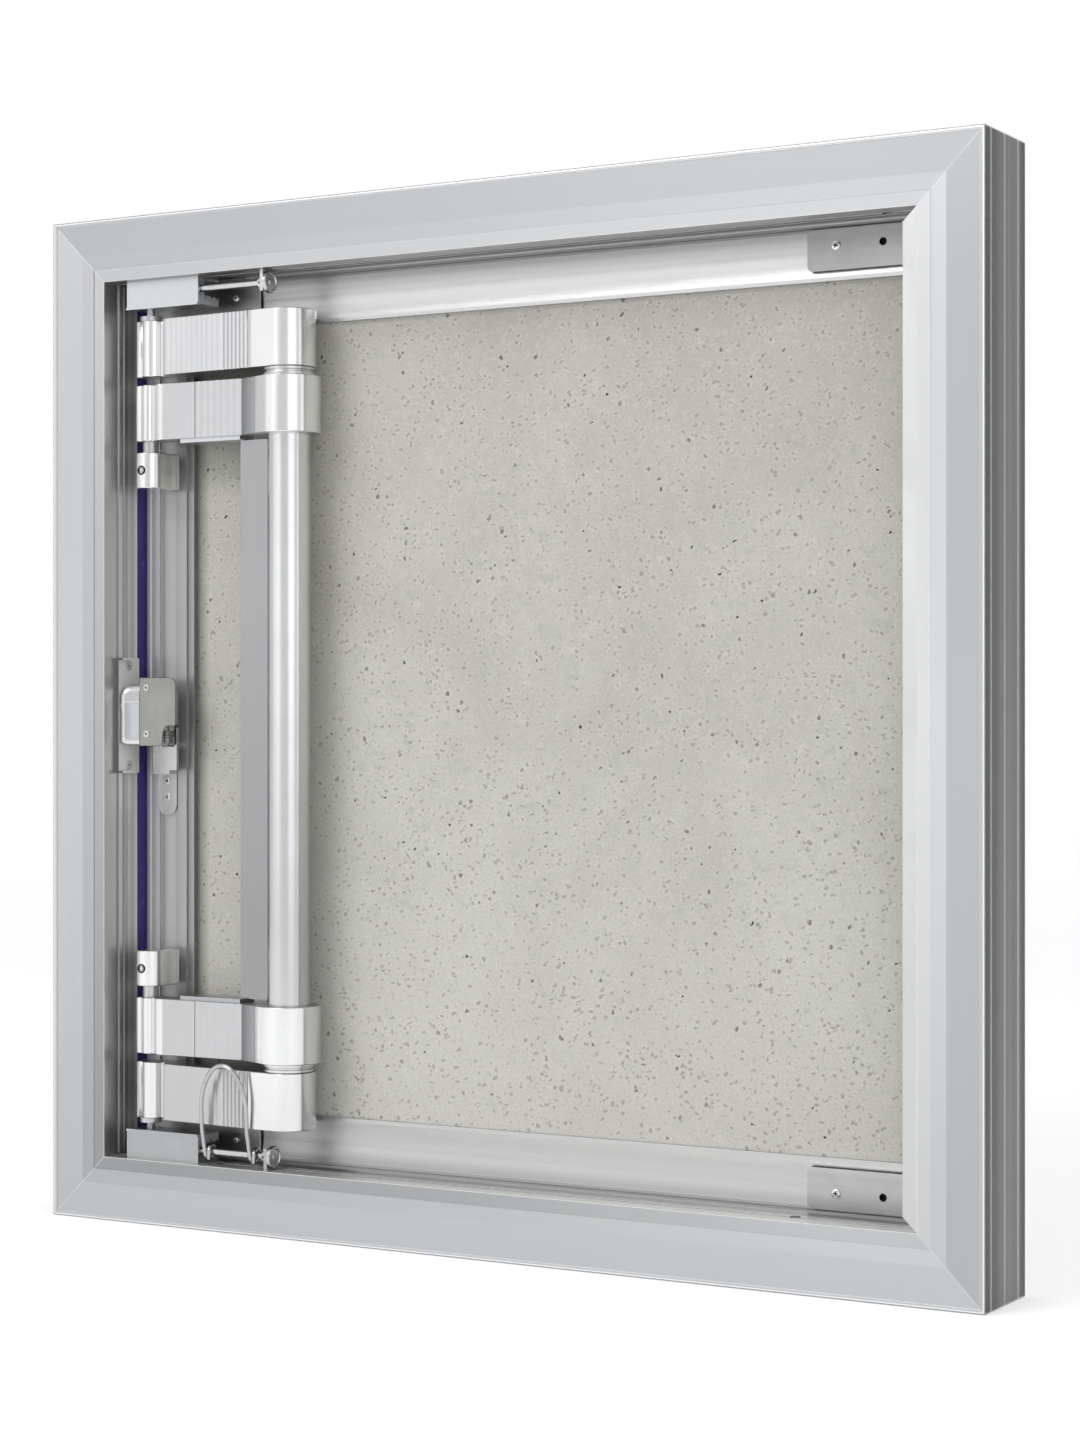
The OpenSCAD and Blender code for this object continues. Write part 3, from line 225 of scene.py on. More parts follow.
def metal(name, colour, rough, along="z", shift=0.06, grain=0.12, streak=0.10, bumpy=0.25, wear_and_highlight=0.5,
          tint=None, wear_and_highlight_radius=0.0004, grime_and_shade=0.6, step=None, metallic=1.0):
    """Extruded or rolled metal: lengthwise grain, cloudy tone, edges brightened by wear and a painted
    highlight, grooves darkened by grime and painted shade.
    """
    look = Look(name)
    look.bsdf.inputs["Metallic"].default_value = metallic
    fine = look.noise(FINE_GRAIN, GRAIN[along], 3.0, 0.6)
    broad = look.noise(BROAD_GRAIN, GRAIN[along], 3.0, 0.6)
    cloud = look.noise(CLOUDS, EVEN, 4.0, 0.6, 0.4)
    dark = toned(colour, 1 - shift * 1.6)
    light = toned(colour, 1 + shift)
    base = look.mix(look.span(cloud, 0.36, 0.64), dark, light)
    base = look.mix(look.span(broad, 0.35, 0.7, 0.0, streak * 2), base, dark)
    if tint:
        base = tint(look, base)
    worn_and_lit_edge = toned(colour, 1.15, 0.10)
    grime_and_shade_tone = toned(colour, 0.45)
    # Edges brightened: partly wear, partly a painted highlight of edges catching light
    base = look.mix(look.calc("MULTIPLY", look.edges(wear_and_highlight_radius), wear_and_highlight), base, worn_and_lit_edge)
    # Grooves and inner corners darkened: partly grime, partly painted shade
    base = look.mix(look.calc("MULTIPLY", look.crevice(), grime_and_shade), base, grime_and_shade_tone)
    look.put(look.bsdf.inputs["Base Color"], base)
    lines = look.calc("ADD", fine, look.calc("MULTIPLY", broad, 0.6))
    look.put(look.bsdf.inputs["Roughness"], look.span(lines, 0.5, 1.1, rough - grain / 2, rough + grain / 2))
    look.rounded(EDGE_RADIUS)
    look.bump(fine, bumpy, 0.00002)
    look.bump(broad, bumpy * 0.6, 0.00004)
    if step:
        # The small step between the sloping border and the flat round the opening
        drop = 0.0003
        look.bump(look.span(look.off_centre(), step + drop, step - drop), 1.0, drop)
    return look.mat


def board_look():
    """Cement-bonded particle board: pale paste, wood chips, short fibres and pores."""
    look = Look("cement_board")
    clouds = look.span(look.noise(9, EVEN, 5, 0.6, 0.6), 0.35, 0.65)
    paste = look.mix(clouds, tone(190, 189, 183), tone(203, 203, 197))
    warm = look.span(look.noise(70, EVEN, 4, 0.65), 0.5, 0.72)
    base = look.mix(look.calc("MULTIPLY", warm, 0.35), paste, tone(187, 183, 171))
    cool = look.span(look.noise(120, (1, 1, 1.3), 3, 0.6, 0.8), 0.56, 0.7)
    base = look.mix(look.calc("MULTIPLY", cool, 0.45), base, tone(176, 179, 180))
    # Painted shade towards its top and painted light towards its lower edge, fitted to the photograph's view
    base = look.mix(look.span(look.axis("Z"), -0.05, 0.21, 0.0, 0.30), base, tone(172, 168, 160))
    base = look.mix(look.span(look.axis("Z"), -0.06, -0.20, 0.0, 0.45), base, tone(226, 224, 219))
    grains = look.noise(900, EVEN, 3, 0.6)
    base = look.mix(look.span(grains, 0.45, 0.75, 0.0, 0.45), base, tone(168, 164, 154))
    base = look.mix(look.span(grains, 0.25, 0.42, 0.35, 0.0), base, tone(224, 222, 216))
    # Wood chips, bark specks and short fibres of mixed size and direction, each with a pale rim
    plain_place = look.place
    look.warp(520, 0.0030)
    spots = []
    # Each kind: scale, stretch, turn, distance where it fades from and to, rarity from and to, share, colour
    for scale, stretch, turn, low, high, rare_low, rare_high, share, colour in (
        (150, (1, 1, 0.85), 0.5, 0.100, 0.18, 0.50, 0.56, 0.80, tone(90, 87, 77)),
        (185, (1, 1, 0.65), -0.9, 0.105, 0.18, 0.47, 0.54, 0.62, tone(114, 111, 99)),
        (240, (1, 1, 0.75), 2.2, 0.140, 0.23, 0.45, 0.53, 0.55, tone(126, 123, 110)),
        (330, (1, 1, 0.55), 1.2, 0.180, 0.28, 0.40, 0.49, 0.55, tone(132, 130, 118)),
        (205, (1, 1, 0.65), -0.2, 0.090, 0.17, 0.50, 0.56, 0.50, tone(172, 156, 112)),
        (170, (0.6, 1, 1), 0.3, 0.050, 0.10, 0.52, 0.57, 0.45, tone(128, 92, 62)),
        (115, (1, 1, 0.8), 0.9, 0.055, 0.09, 0.45, 0.52, 0.95, tone(50, 48, 42)),
    ):
        chip = look.cells(scale, stretch, turn)
        rare = look.span(look.noise(scale * 0.3, EVEN, 2, 0.5), rare_low, rare_high)
        rim = look.calc("MULTIPLY", look.span(chip, high, high * 1.9, 1.0, 0.0), rare)
        base = look.mix(look.calc("MULTIPLY", rim, 0.3), base, tone(214, 212, 205))
        spot = look.calc("MULTIPLY", look.span(chip, low, high, 1.0, 0.0), rare)
        base = look.mix(look.calc("MULTIPLY", spot, share), base, colour)
        spots.append(spot)
    look.place = plain_place
    # Painted shadow beside the hinge-side profile, fitted to the photograph's view
    shade = look.span(look.axis("X"), at(63.0, 0, 0).x, at(69.5, 0, 0).x, 0.62, 0.0)
    base = look.mix(shade, base, tone(70, 66, 60))
    # A faint warm band with ragged edges beside the free-side profile
    ragged = look.calc("MULTIPLY", look.calc("SUBTRACT", look.noise(160, EVEN, 4, 0.7), 0.5), 0.004)
    x = look.calc("ADD", look.axis("X"), ragged)
    band = look.calc("MULTIPLY", look.span(x, 0.1936, 0.1942), look.span(x, 0.1958, 0.1962, 1.0, 0.0))
    base = look.mix(look.calc("MULTIPLY", band, 0.22), base, tone(196, 186, 164))
    look.put(look.bsdf.inputs["Base Color"], base)
    look.put(look.bsdf.inputs["Roughness"], look.span(grains, 0.3, 0.7, 0.78, 0.96))
    look.bsdf.inputs["Specular IOR Level"].default_value = 0.3
    look.bump(grains, 0.35, 0.0002)
    look.bump(look.noise(300, EVEN, 4, 0.6), 0.35, 0.0003)
    for spot in (spots[0], spots[-1]):
        look.bump(spot, -0.6, 0.0003)
    return look.mat


def moulded(name, colour, rough, speck, tint):
    """Moulded plastic or rubber with a fine grain and a little dust."""
    look = Look(name)
    dark = toned(colour, 1 - speck * 2)
    light = toned(colour, 1 + speck, 0.004)
    base = look.mix(look.span(look.noise(60, EVEN, 4, 0.6, 0.3), 0.35, 0.65), dark, light)
    base = tint(look, base)
    dust = look.span(look.noise(500, EVEN, 3, 0.6), 0.6, 0.8, 0.0, 0.25)
    base = look.mix(dust, base, tone(170, 168, 162))
    # Edges painted lighter, as a highlight
    base = look.mix(look.calc("MULTIPLY", look.edges(), 0.3), base, light)
    look.put(look.bsdf.inputs["Base Color"], base)
    fine = look.noise(1400, EVEN, 3, 0.6)
    look.put(look.bsdf.inputs["Roughness"], look.span(fine, 0.3, 0.7, rough - 0.07, rough + 0.07))
    look.rounded(0.0003)
    look.bump(fine, 0.3, 0.00004)
    return look.mat


ANODISED = (0.55, 0.56, 0.572, 1.0)
STEEL = (0.48, 0.48, 0.485, 1.0)
ZINC = (0.60, 0.605, 0.61, 1.0)

# Distances from the panel's centre in metres: inner wall, step, border, lip painted bright as a highlight,
# and outer side
WALL_AT, STEP_AT, BORDER, LIP_AT, OUTER_AT = 0.2188, 0.225, 0.2322, 0.2490, 0.24955
# How far along a member its end tones lie, and half the width over which one tone turns into the next
MEMBER_END, SHARP = 0.19, 0.0002


# The tones in the tints below were fitted to the photograph's view. They follow its light and its
# reflections and are no property of the metal, so under other light they show as painted.

def row_depth(look):
    """Millimetres from the frame's rear face."""
    return look.calc("ADD", look.calc("MULTIPLY", look.axis("Y"), 1000.0), HALF_DEPTH)


# Painted light and shade by depth from the rear face, as shares of the lightest tone: the outer side with
# its lighter lines, then the inner walls
OUTER_SIDE_SHADING = [
    (0, 0.18), (5.2, 0.20), (6.0, 0.46), (7.4, 0.50), (8.4, 0.27), (12, 0.27), (18, 0.44), (22.3, 0.45),
    (23.0, 0.62), (24.0, 0.60), (25.2, 0.42), (28, 0.52), (34, 0.42), (37.6, 0.52), (39.0, 0.66),
    (40.6, 0.40), (43, 0.22), (46.5, 0.20)]
SIDE_WALL = [
    (0, 0.85), (12, 0.88), (15.6, 1.0), (16.2, 0.42), (16.9, 0.5), (17.4, 0.66), (20, 0.66), (20.8, 0.9),
    (21.8, 0.9), (22.8, 0.74), (25, 0.74), (26.2, 0.92)]
TOP_WALL = [
    (0, 0.42), (5, 0.40), (8.4, 0.40), (11.5, 0.20), (14.6, 0.08), (17.7, 0.08), (20.8, 0.13), (23.9, 0.48),
    (27, 0.95)]
LOW_WALL = [
    (0, 0.88), (4.8, 0.85), (8, 0.80), (11, 0.64), (14, 0.53), (17, 0.30), (20.2, 0.17), (23.4, 0.145),
    (26.5, 0.27), (28, 0.50)]
OUTER_SIDE_TONE = (0.4, 0.405, 0.41, 1.0)
WALL_TONE = (0.87, 0.88, 0.85, 1.0)
LIP_HIGHLIGHT = grey(0.95)


def frame_tint(along, low, middle, high, walls):
    """The painted light and shade of one member: border, step and flat at its low end, middle and high end,
    then its walls and outer side.
    """
    across = "Z" if along == "X" else "X"

    def apply(look, base):
        first = look.span(look.axis(along), -MEMBER_END, 0.0)
        second = look.span(look.axis(along), 0.0, MEMBER_END)
        far = look.off_centre()
        border, step, flat = (
            look.mix(second, look.mix(first, grey(a), grey(b)), grey(c))
            for a, b, c in zip(low, middle, high))
        face = look.mix(look.span(far, STEP_AT - SHARP, STEP_AT + SHARP), flat, step)
        face = look.mix(look.span(far, BORDER - SHARP, BORDER + SHARP), face, border)
        # A painted highlight along the lip at the rear outer edge
        face = look.mix(look.span(far, LIP_AT - SHARP, LIP_AT + SHARP), face, LIP_HIGHLIGHT)
        base = look.mix(0.9, base, face)
        depth = row_depth(look)
        wall = look.mix(look.steps(depth, 0.0, 2 * HALF_DEPTH, walls), BLACK, WALL_TONE)
        beside = look.calc("ABSOLUTE", look.axis(across))
        base = look.mix(look.span(beside, WALL_AT + 0.00015, WALL_AT - 0.00005), base, wall)
        # The outer side: painted shade with lighter painted lines, by depth
        outer_side_tones = look.mix(look.steps(depth, 0.0, 2 * HALF_DEPTH, OUTER_SIDE_SHADING), BLACK, OUTER_SIDE_TONE)
        return look.mix(look.span(far, OUTER_AT - SHARP / 2, OUTER_AT + SHARP / 2), base, outer_side_tones)
    return apply


def stile_tint(look, base):
    """The painted light and shade across the door's stile, by distance from the frame's hinge-side face."""
    x = look.calc("ADD", look.calc("MULTIPLY", look.axis("X"), 1000.0), HALF_W)
    share = look.steps(x, 30.0, 64.0, [
        (33, 1.0), (38.6, 1.0), (40.0, 0.68), (41.0, 0.55), (42.5, 0.72), (45.5, 0.84), (48.5, 0.84),
        (50.3, 0.70), (51.3, 0.66), (52.2, 0.64), (56.5, 0.68), (57.4, 0.44), (58.6, 0.47), (60, 0.56)])
    return look.mix(share, BLACK, (0.67, 0.675, 0.675, 1.0))


def rail_tint(look, base):
    """The painted light and shade across the coves of the door's rails, by height from the panel's centre.
    """
    share = look.steps(look.calc("MULTIPLY", look.axis("Z"), 1000.0), -220.0, 220.0, [
        (-217.8, 0.85), (-217.0, 0.39), (-216, 0.375), (-211, 0.56), (-206, 0.55), (-201, 0.52),
        (-196, 0.54), (196, 0.60), (199, 0.72), (201, 0.89), (206, 0.82), (211, 0.49), (216.4, 0.20),
        (217.6, 0.50)])
    return look.mix(0.9, base, look.mix(share, BLACK, WHITE))


def strip_tint(look, base):
    """A painted shadow darkens the latch strip's cut rear edge."""
    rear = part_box("latch_strip")[0].y
    return look.mix(look.span(look.axis("Y"), rear + 0.0007, rear + 0.0003), base, grey(0.10))


def plate_tint(look, base):
    """Painted shade on the cut edges of the corner plates at the free side, and painted light on those at
    the hinge side.
    """
    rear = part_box("corner_plate_upper_free")[0].y
    edge = look.span(look.axis("Y"), rear + 0.0003, rear + 0.0006)
    far = look.mix(look.span(look.axis("X"), -0.02, 0.02), grey(0.75), grey(0.06))
    return look.mix(edge, base, far)


def low_shade(share):
    """Darkens what lies in the panel's lower half by this share."""
    def apply(look, base):
        return look.mix(look.span(look.axis("Z"), 0.06, -0.10, 0.0, share), base, BLACK)
    return apply


def fin_tint(look, base):
    """Painted shade: the flat fin beside the tube duller and bluer than the round tube, and the lower half
    darker.
    """
    dx = look.calc("SUBTRACT", look.axis("X"), at(ELBOW_X, 0, 0).x)
    dy = look.calc("SUBTRACT", look.axis("Y"), at(0, AXIS_Y, 0).y)
    squares = look.calc("ADD", look.calc("MULTIPLY", dx, dx), look.calc("MULTIPLY", dy, dy))
    reach = look.calc("SQRT", squares)
    base = look.mix(look.span(reach, 0.0107, 0.0110), base, (0.41, 0.415, 0.425, 1.0))
    return low_shade(0.28)(look, base)


def arm_tint(look, base):
    """Painted shade: the upper link arm darker than the frame arm above it, and the lower half darker."""
    height = look.axis("Z")
    link = look.calc("MULTIPLY", look.span(height, 0.1685, 0.1681), look.span(height, 0.130, 0.136))
    base = look.mix(look.calc("MULTIPLY", link, 0.16), base, BLACK)
    return low_shade(0.26)(look, base)


def link_tint(look, base):
    """Painted shade on the slanted face between the link arm's flat and its collar, and the lower half
    darker.
    """
    x = look.axis("X")
    low, high = at(107.2, 0, 0).x, at(119.5, 0, 0).x
    begins = look.span(x, low - 0.0003, low + 0.0003)
    slant = look.calc("MULTIPLY", begins, look.span(x, low + 0.003, high, 1.0, 0.0))
    base = look.mix(look.calc("MULTIPLY", slant, 0.85), base, (0.27, 0.275, 0.29, 1.0))
    return low_shade(0.34)(look, base)


def frame_metal(name, along, low, middle, high, walls):
    """The metal of one frame member, with its painted light and shade."""
    tint = frame_tint(along, low, middle, high, walls)
    return metal(f"frame_aluminium_{name}", ANODISED, 0.40, along.lower(), shift=0.015, streak=0.03,
                 bumpy=0.15, tint=tint, wear_and_highlight=0.9, wear_and_highlight_radius=0.0009, grime_and_shade=0.4, step=STEP_AT)


# Tones of border, step and flat at each member's low end, middle and high end: painted light and shade
frame_left = frame_metal(
    "hinge_side", "Z", (0.48, 0.385, 0.30), (0.545, 0.467, 0.425), (0.53, 0.50, 0.535), SIDE_WALL)
frame_right = frame_metal(
    "free_side", "Z", (0.435, 0.535, 0.58), (0.46, 0.63, 0.69), (0.40, 0.55, 0.60), SIDE_WALL)
frame_top = frame_metal(
    "top", "X", (0.457, 0.467, 0.516), (0.454, 0.473, 0.496), (0.484, 0.53, 0.515), TOP_WALL)
frame_low = frame_metal(
    "bottom", "X", (0.494, 0.44, 0.304), (0.512, 0.497, 0.381), (0.534, 0.58, 0.516), LOW_WALL)
door_up = metal("door_aluminium_upright", (0.53, 0.535, 0.535, 1.0), 0.34, "z", shift=0.03, streak=0.05,
                grime_and_shade=0.06, tint=stile_tint, metallic=0.6)
door_across = metal("door_aluminium_level", (0.57, 0.575, 0.58, 1.0), 0.32, "x", shift=0.02, streak=0.03,
                    bumpy=0.12, grime_and_shade=0.15, tint=rail_tint)
arm_metal = metal("arm_aluminium", (0.71, 0.715, 0.725, 1.0), 0.30, "z", shift=0.02, grain=0.06,
                  streak=0.04, tint=arm_tint)
# A darker copy of the arm's metal: painted shade on the slanted shoulder
shoulder_shade_metal = metal("link_shoulder_shaded_aluminium", (0.60, 0.605, 0.62, 1.0), 0.28, "z", shift=0.02, grain=0.06,
                   streak=0.04, tint=link_tint)
tube_metal = metal("tube_aluminium", (0.79, 0.795, 0.80, 1.0), 0.22, "z", shift=0.03, grain=0.08,
                   tint=fin_tint)
barrel_metal = metal("rolled_aluminium", (0.88, 0.885, 0.89, 1.0), 0.20, "z", shift=0.02, grain=0.05,
                     streak=0.03, tint=low_shade(0.14))
ring_metal = metal("ring_steel", (0.70, 0.705, 0.71, 1.0), 0.26, "x", shift=0.04, grain=0.08)
pin_metal = metal("pin_steel", (0.58, 0.585, 0.59, 1.0), 0.22, "x", shift=0.06, grain=0.10)
catch_metal = metal("catch_aluminium", (0.73, 0.735, 0.74, 1.0), 0.24, "z", shift=0.03, grain=0.08,
                    tint=low_shade(0.22))
bracket_metal = metal("bracket_aluminium", (0.63, 0.645, 0.665, 1.0), 0.32, "x", shift=0.04,
                      tint=low_shade(0.34))
zinc_metal = metal("zinc_plated_steel", ZINC, 0.32, "x", shift=0.08, grain=0.14)
wire_metal = metal("bright_wire", (0.50, 0.50, 0.505, 1.0), 0.16, "z", shift=0.05, grain=0.10)
strip_metal = metal("latch_steel", (0.78, 0.78, 0.77, 1.0), 0.46, "z", shift=0.06, tint=strip_tint,
                    metallic=0.35)
striker_metal = metal("striker_steel", (0.60, 0.605, 0.61, 1.0), 0.30, "z", shift=0.05)
housing_metal = metal("latch_housing_steel", (0.72, 0.73, 0.74, 1.0), 0.24, "z", shift=0.05, grain=0.08)
cover_metal = metal("latch_cover_metal", (0.345, 0.342, 0.323, 1.0), 0.42, "z", shift=0.08, grain=0.14)
# Near black, as painted shade in recesses, sockets and holes
recess_shade_metal = metal("recess_painted_shade", (0.02, 0.02, 0.022, 1.0), 0.5, "x", shift=0.10, grain=0.14, wear_and_highlight=0.1)
plate_metal = metal("corner_plate_steel", STEEL, 0.36, "x", shift=0.10, grain=0.16, streak=0.2,
                    tint=plate_tint)
dark_metal = metal("plain_steel", (0.25, 0.255, 0.26, 1.0), 0.35, "x", shift=0.10, grain=0.14)
board_mat = board_look()


def seal_tint(look, base):
    """Navy along the hinge side with painted shade over its inner part, and grey round the other three
    sides.
    """
    away = look.calc("MAXIMUM", look.span(look.axis("X"), -0.150, -0.148),
                     look.span(look.calc("ABSOLUTE", look.axis("Z")), 0.2180, 0.2184))
    base = look.mix(look.span(look.axis("X"), at(33.6, 0, 0).x, at(36.2, 0, 0).x), base, tone(38, 38, 54))
    return look.mix(away, base, tone(158, 159, 161))


seal_mat = moulded("navy_seal", tone(44, 34, 116), 0.55, 0.10, seal_tint)


def pair(name):
    """The names of the upper and the lower one of two mirrored parts."""
    return [f"upper_{name}", f"lower_{name}"]


def corner_plates(side):
    return [f"corner_plate_upper_{side}", f"corner_plate_lower_{side}"]


LOOKS = [
    (frame_left, ["frame_hinge_stile"]), (frame_right, ["frame_free_stile"]),
    (frame_top, ["frame_top_rail"]), (frame_low, ["frame_bottom_rail"]),
    (catch_metal, ["catch_strip"]), (seal_mat, ["door_seal"]),
    (bracket_metal, ["corner_keys", "link_plates", *pair("pivot_bracket"), *pair("rod_guide")]),
    (zinc_metal, ["bracket_screws", "frame_pivot_pins", "latch_screws", "arm_bushes", "door_pins",
                  "corner_plate_screws", "striker_screws"]),
    (pin_metal, pair("release_pin")), (wire_metal, ["wire_bail"]),
    (strip_metal, ["latch_strip"]), (housing_metal, ["latch_housing"]), (cover_metal, ["latch_cover"]),
    (dark_metal, ["latch_claw", "claw_pin", "claw_spring", "elbow_spindles", "clamp_screws"]),
    (arm_metal, [*pair("frame_arm"), *pair("link_arm"), *pair("link_knuckle")]),
    (tube_metal, ["hinge_tube"]), (ring_metal, ["elbow_rings"]), (barrel_metal, pair("door_clamp")),
    (door_up, ["door_hinge_stile", "door_free_stile"]),
    (door_across, ["door_top_rail", "door_bottom_rail"]),
    (board_mat, ["door_board"]), (striker_metal, ["striker_plate"]),
    (plate_metal, corner_plates("hinge") + corner_plates("free")),
]
for look, names in LOOKS:
    for name in names:
        mesh = nodes[name].data
        mesh.materials.clear()
        mesh.materials.append(look)


# The scene's own pieces

def piece(name, bm, looks, body, stands_for=(), sharp=38):
    """A mesh in the row's frame that rides on a body and stands for CAD nodes."""
    bmesh.ops.recalc_face_normals(bm, faces=bm.faces)
    mesh = bpy.data.meshes.new(name)
    bm.to_mesh(mesh)
    bm.free()
    for look in looks:
        mesh.materials.append(look)
    for face in mesh.polygons:
        face.use_smooth = True
    mesh.set_sharp_from_angle(angle=math.radians(sharp))
    obj = bpy.data.objects.new(name, mesh)
    bpy.context.scene.collection.objects.link(obj)
    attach(obj, body)
    if stands_for:
        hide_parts(*stands_for)
    return obj


def arc(x, y, radius, start, end, steps):
    """Points along a circle in plan, angles in degrees."""
    turn = [math.radians(start + (end - start) * i / steps) for i in range(steps + 1)]
    return [(x + radius * math.cos(a), y + radius * math.sin(a)) for a in turn]


def inset(outline, distance):
    """The outline with each corner moved inwards, for an outline that turns to the left."""
    result = []
    for i, (x, y) in enumerate(outline):
        px, py = outline[i - 1]
        nx, ny = outline[(i + 1) % len(outline)]
        before, after = Vector((x - px, y - py)), Vector((nx - x, ny - y))
        if before.length > 1e-6:
            before.normalize()
        if after.length > 1e-6:
            after.normalize()
        run = before + after
        if run.length < 0.3:
            run = before
        run.normalize()
        result.append((x - run.y * distance, y + run.x * distance))
    return result


def rectangle(x0, y0, x1, y1):
    return [(x0, y0), (x1, y0), (x1, y1), (x0, y1)]


def put_band(bm, low, high):
    """Faces between two closed rings of vertices."""
    faces = []
    for i in range(len(low)):
        j = (i + 1) % len(low)
        faces.append(bm.faces.new((low[i], low[j], high[j], high[i])))
    return faces


def put_shell(bm, rings):
    """Bands between the rings, and a face over the first and the last ring."""
    faces = [face for low, high in zip(rings, rings[1:]) for face in put_band(bm, low, high)]
    for ring in (rings[0], rings[-1]):
        bm.faces.new(ring)
    return faces


def put_prism(bm, outline, z0, z1, rim, which=lambda x, y: 0, place=at):
    """A solid over an outline with a small chamfer round both ends; which picks each side's material."""
    narrow = inset(outline, rim)
    rings = [(narrow, z0), (outline, z0 + rim), (outline, z1 - rim), (narrow, z1)]
    rings = [[bm.verts.new(place(x, y, z)) for x, y in ring] for ring, z in rings]
    count = len(outline)
    for k, face in enumerate(put_shell(bm, rings)):
        (x0, y0), (x1, y1) = outline[k % count], outline[(k + 1) % count]
        face.material_index = which((x0 + x1) / 2, (y0 + y1) / 2)


def put_circle(bm, middle, side, other, radius, steps, turn=0.0):
    """A ring of vertices round the middle, in the plane of side and other."""
    angles = [2 * math.pi * i / steps + turn for i in range(steps)]
    return [bm.verts.new(at(*(middle + side * (radius * math.cos(a)) + other * (radius * math.sin(a)))))
            for a in angles]


def put_turned(bm, profile, centre, axis, steps):
    """A turned solid. Its profile is a list of (distance along the axis, radius)."""
    axis = Vector(axis).normalized()
    side = axis.orthogonal().normalized()
    other = axis.cross(side)
    rings = []
    for along, radius in profile:
        middle = Vector(centre) + axis * along
        if radius == 0.0:
            rings.append([bm.verts.new(at(*middle))])
        else:
            rings.append(put_circle(bm, middle, side, other, radius, steps))
    faces = []
    for low, high in zip(rings, rings[1:]):
        if len(low) == len(high):
            faces += put_band(bm, low, high)
            continue
        for i in range(steps):
            j = (i + 1) % steps
            ends = (low[0], high[i], high[j]) if len(low) == 1 else (low[i], low[j], high[0])
            faces.append(bm.faces.new(ends))
    return faces


def put_screw(bm, centre, axis, head_r, head_h, shank_r, shank_l, turn, sunk=0.62):
    """A pan-head screw with a cross recess: the axis points out of the head, the centre lies under it."""
    axis = Vector(axis).normalized()
    side = axis.orthogonal().normalized()
    other = axis.cross(side)
    ring_count, steps = 14, 48
    # The recess: how far its arms reach, and half their width
    reach, half = 0.60 * head_r, 0.13 * head_r

    def height(px, py):
        """The head's height at a place, and whether that lies in the recess."""
        dome = head_h * (1 - 0.35 * (math.hypot(px, py) / head_r) ** 2.4)
        arms = 0.0
        for a, b in ((px, py), (py, px)):
            wide = half * (1.25 - 0.5 * abs(a) / reach)
            inside = min(1.0, max(0.0, (wide - abs(b)) / (0.07 * head_r) + 0.5))
            inside *= min(1.0, max(0.0, (reach - abs(a)) / (0.12 * head_r)))
            arms = max(arms, inside)
        return dome - sunk * head_h * arms, arms > 0.5

    deep = set()
    rings = []
    for k in range(ring_count + 1):
        radius = head_r * (k / ring_count)
        if k == 0:
            rings.append([bm.verts.new(at(*(Vector(centre) + axis * height(0, 0)[0])))])
            deep.add(rings[0][0])
            continue
        ring = []
        for i in range(steps):
            a = 2 * math.pi * i / steps
            px, py = radius * math.cos(a), radius * math.sin(a)
            qx = px * math.cos(turn) - py * math.sin(turn)
            qy = px * math.sin(turn) + py * math.cos(turn)
            level, sunken = height(px, py)
            ring.append(bm.verts.new(at(*(Vector(centre) + side * qx + other * qy + axis * level))))
            if sunken:
                deep.add(ring[-1])
        rings.append(ring)
    top = [bm.faces.new((rings[0][0], rings[1][i], rings[1][(i + 1) % steps])) for i in range(steps)]
    for low, high in zip(rings[1:], rings[2:]):
        for i in range(steps):
            j = (i + 1) % steps
            top.append(bm.faces.new((low[i], high[i], high[j], low[j])))
    # The recess's faces take the second material, near black as painted shade
    for face in top:
        face.material_index = 1 if all(v in deep for v in face.verts) else 0
    last = rings[-1]
    below = ((head_h * 0.45, head_r), (0.0, head_r * 0.97), (0.0, shank_r), (-shank_l, shank_r * 0.9))
    for along, radius in below:
        ring = put_circle(bm, Vector(centre) + axis * along, side, other, radius, steps, turn)
        put_band(bm, last, ring)
        last = ring
    bm.faces.new(last)


def span_z(half, low, high):
    """The heights in the upper half for 1, or their mirror image in the lower half for -1."""
    return (low, high) if half > 0 else (-high, -low)


# Hinge arms
FRAME_ARM_Z, LINK_ARM_Z = (171.5, 199.5), (139.3, 167.2)


def wavy(x0, x1, y0, y1, pitch, depth):
    """A straight face with soft rounded flutes."""
    per_wave = 8
    steps = max(1, round((x1 - x0) / pitch * per_wave))
    points = []
    for i in range(steps + 1):
        x = x0 + (x1 - x0) * i / steps
        wave = (1 - math.cos(2 * math.pi * (x - x0) / pitch)) / 2
        points.append((x, y0 + (y1 - y0) * i / steps + depth * wave))
    return points


def frame_arm_outline():
    """The frame arm in plan: an open seat with the bush tube, a fluted and ribbed flat, and the barrel."""
    def flat(x):
        return 10.62 - 0.0713 * (x - 47.2)
    line = [(40.35, 17.0), (40.9, 14.9), (41.9, 13.6), (43.1, 12.9), (44.2, 13.4), (44.9, 14.6)]
    line += arc(50.0, 17.0, 5.6, 207, 352, 22)
    line += [(57.0, 17.4), (60.6, 12.0), (61.8, flat(62.0) + 0.25), (62.8, flat(62.8))]
    line += wavy(64.6, 98.2, flat(64.6), flat(98.2), 3.3, 0.07)
    first, pitch = 100.7, 2.5
    for k in range(7):
        x = first + pitch * k
        deep = 0.95 if k == 6 else 0.75
        line += [(x - 0.85, flat(x - 0.85)), (x - 0.5, flat(x) + 0.12), (x, flat(x) + deep),
                 (x + 0.5, flat(x) + 0.12), (x + 0.85, flat(x + 0.85))]
    line += [(119.5, 5.36), (122.5, 5.08), (125.5, 4.88), (128.5, 4.72)]
    line += arc(ELBOW_X, AXIS_Y, 13.4, 262, 454, 58)
    line += [(PIVOT_X - 0.5, AXIS_Y + 7.36)]
    line += arc(PIVOT_X, AXIS_Y, 7.4, 98, 186, 12)
    return line


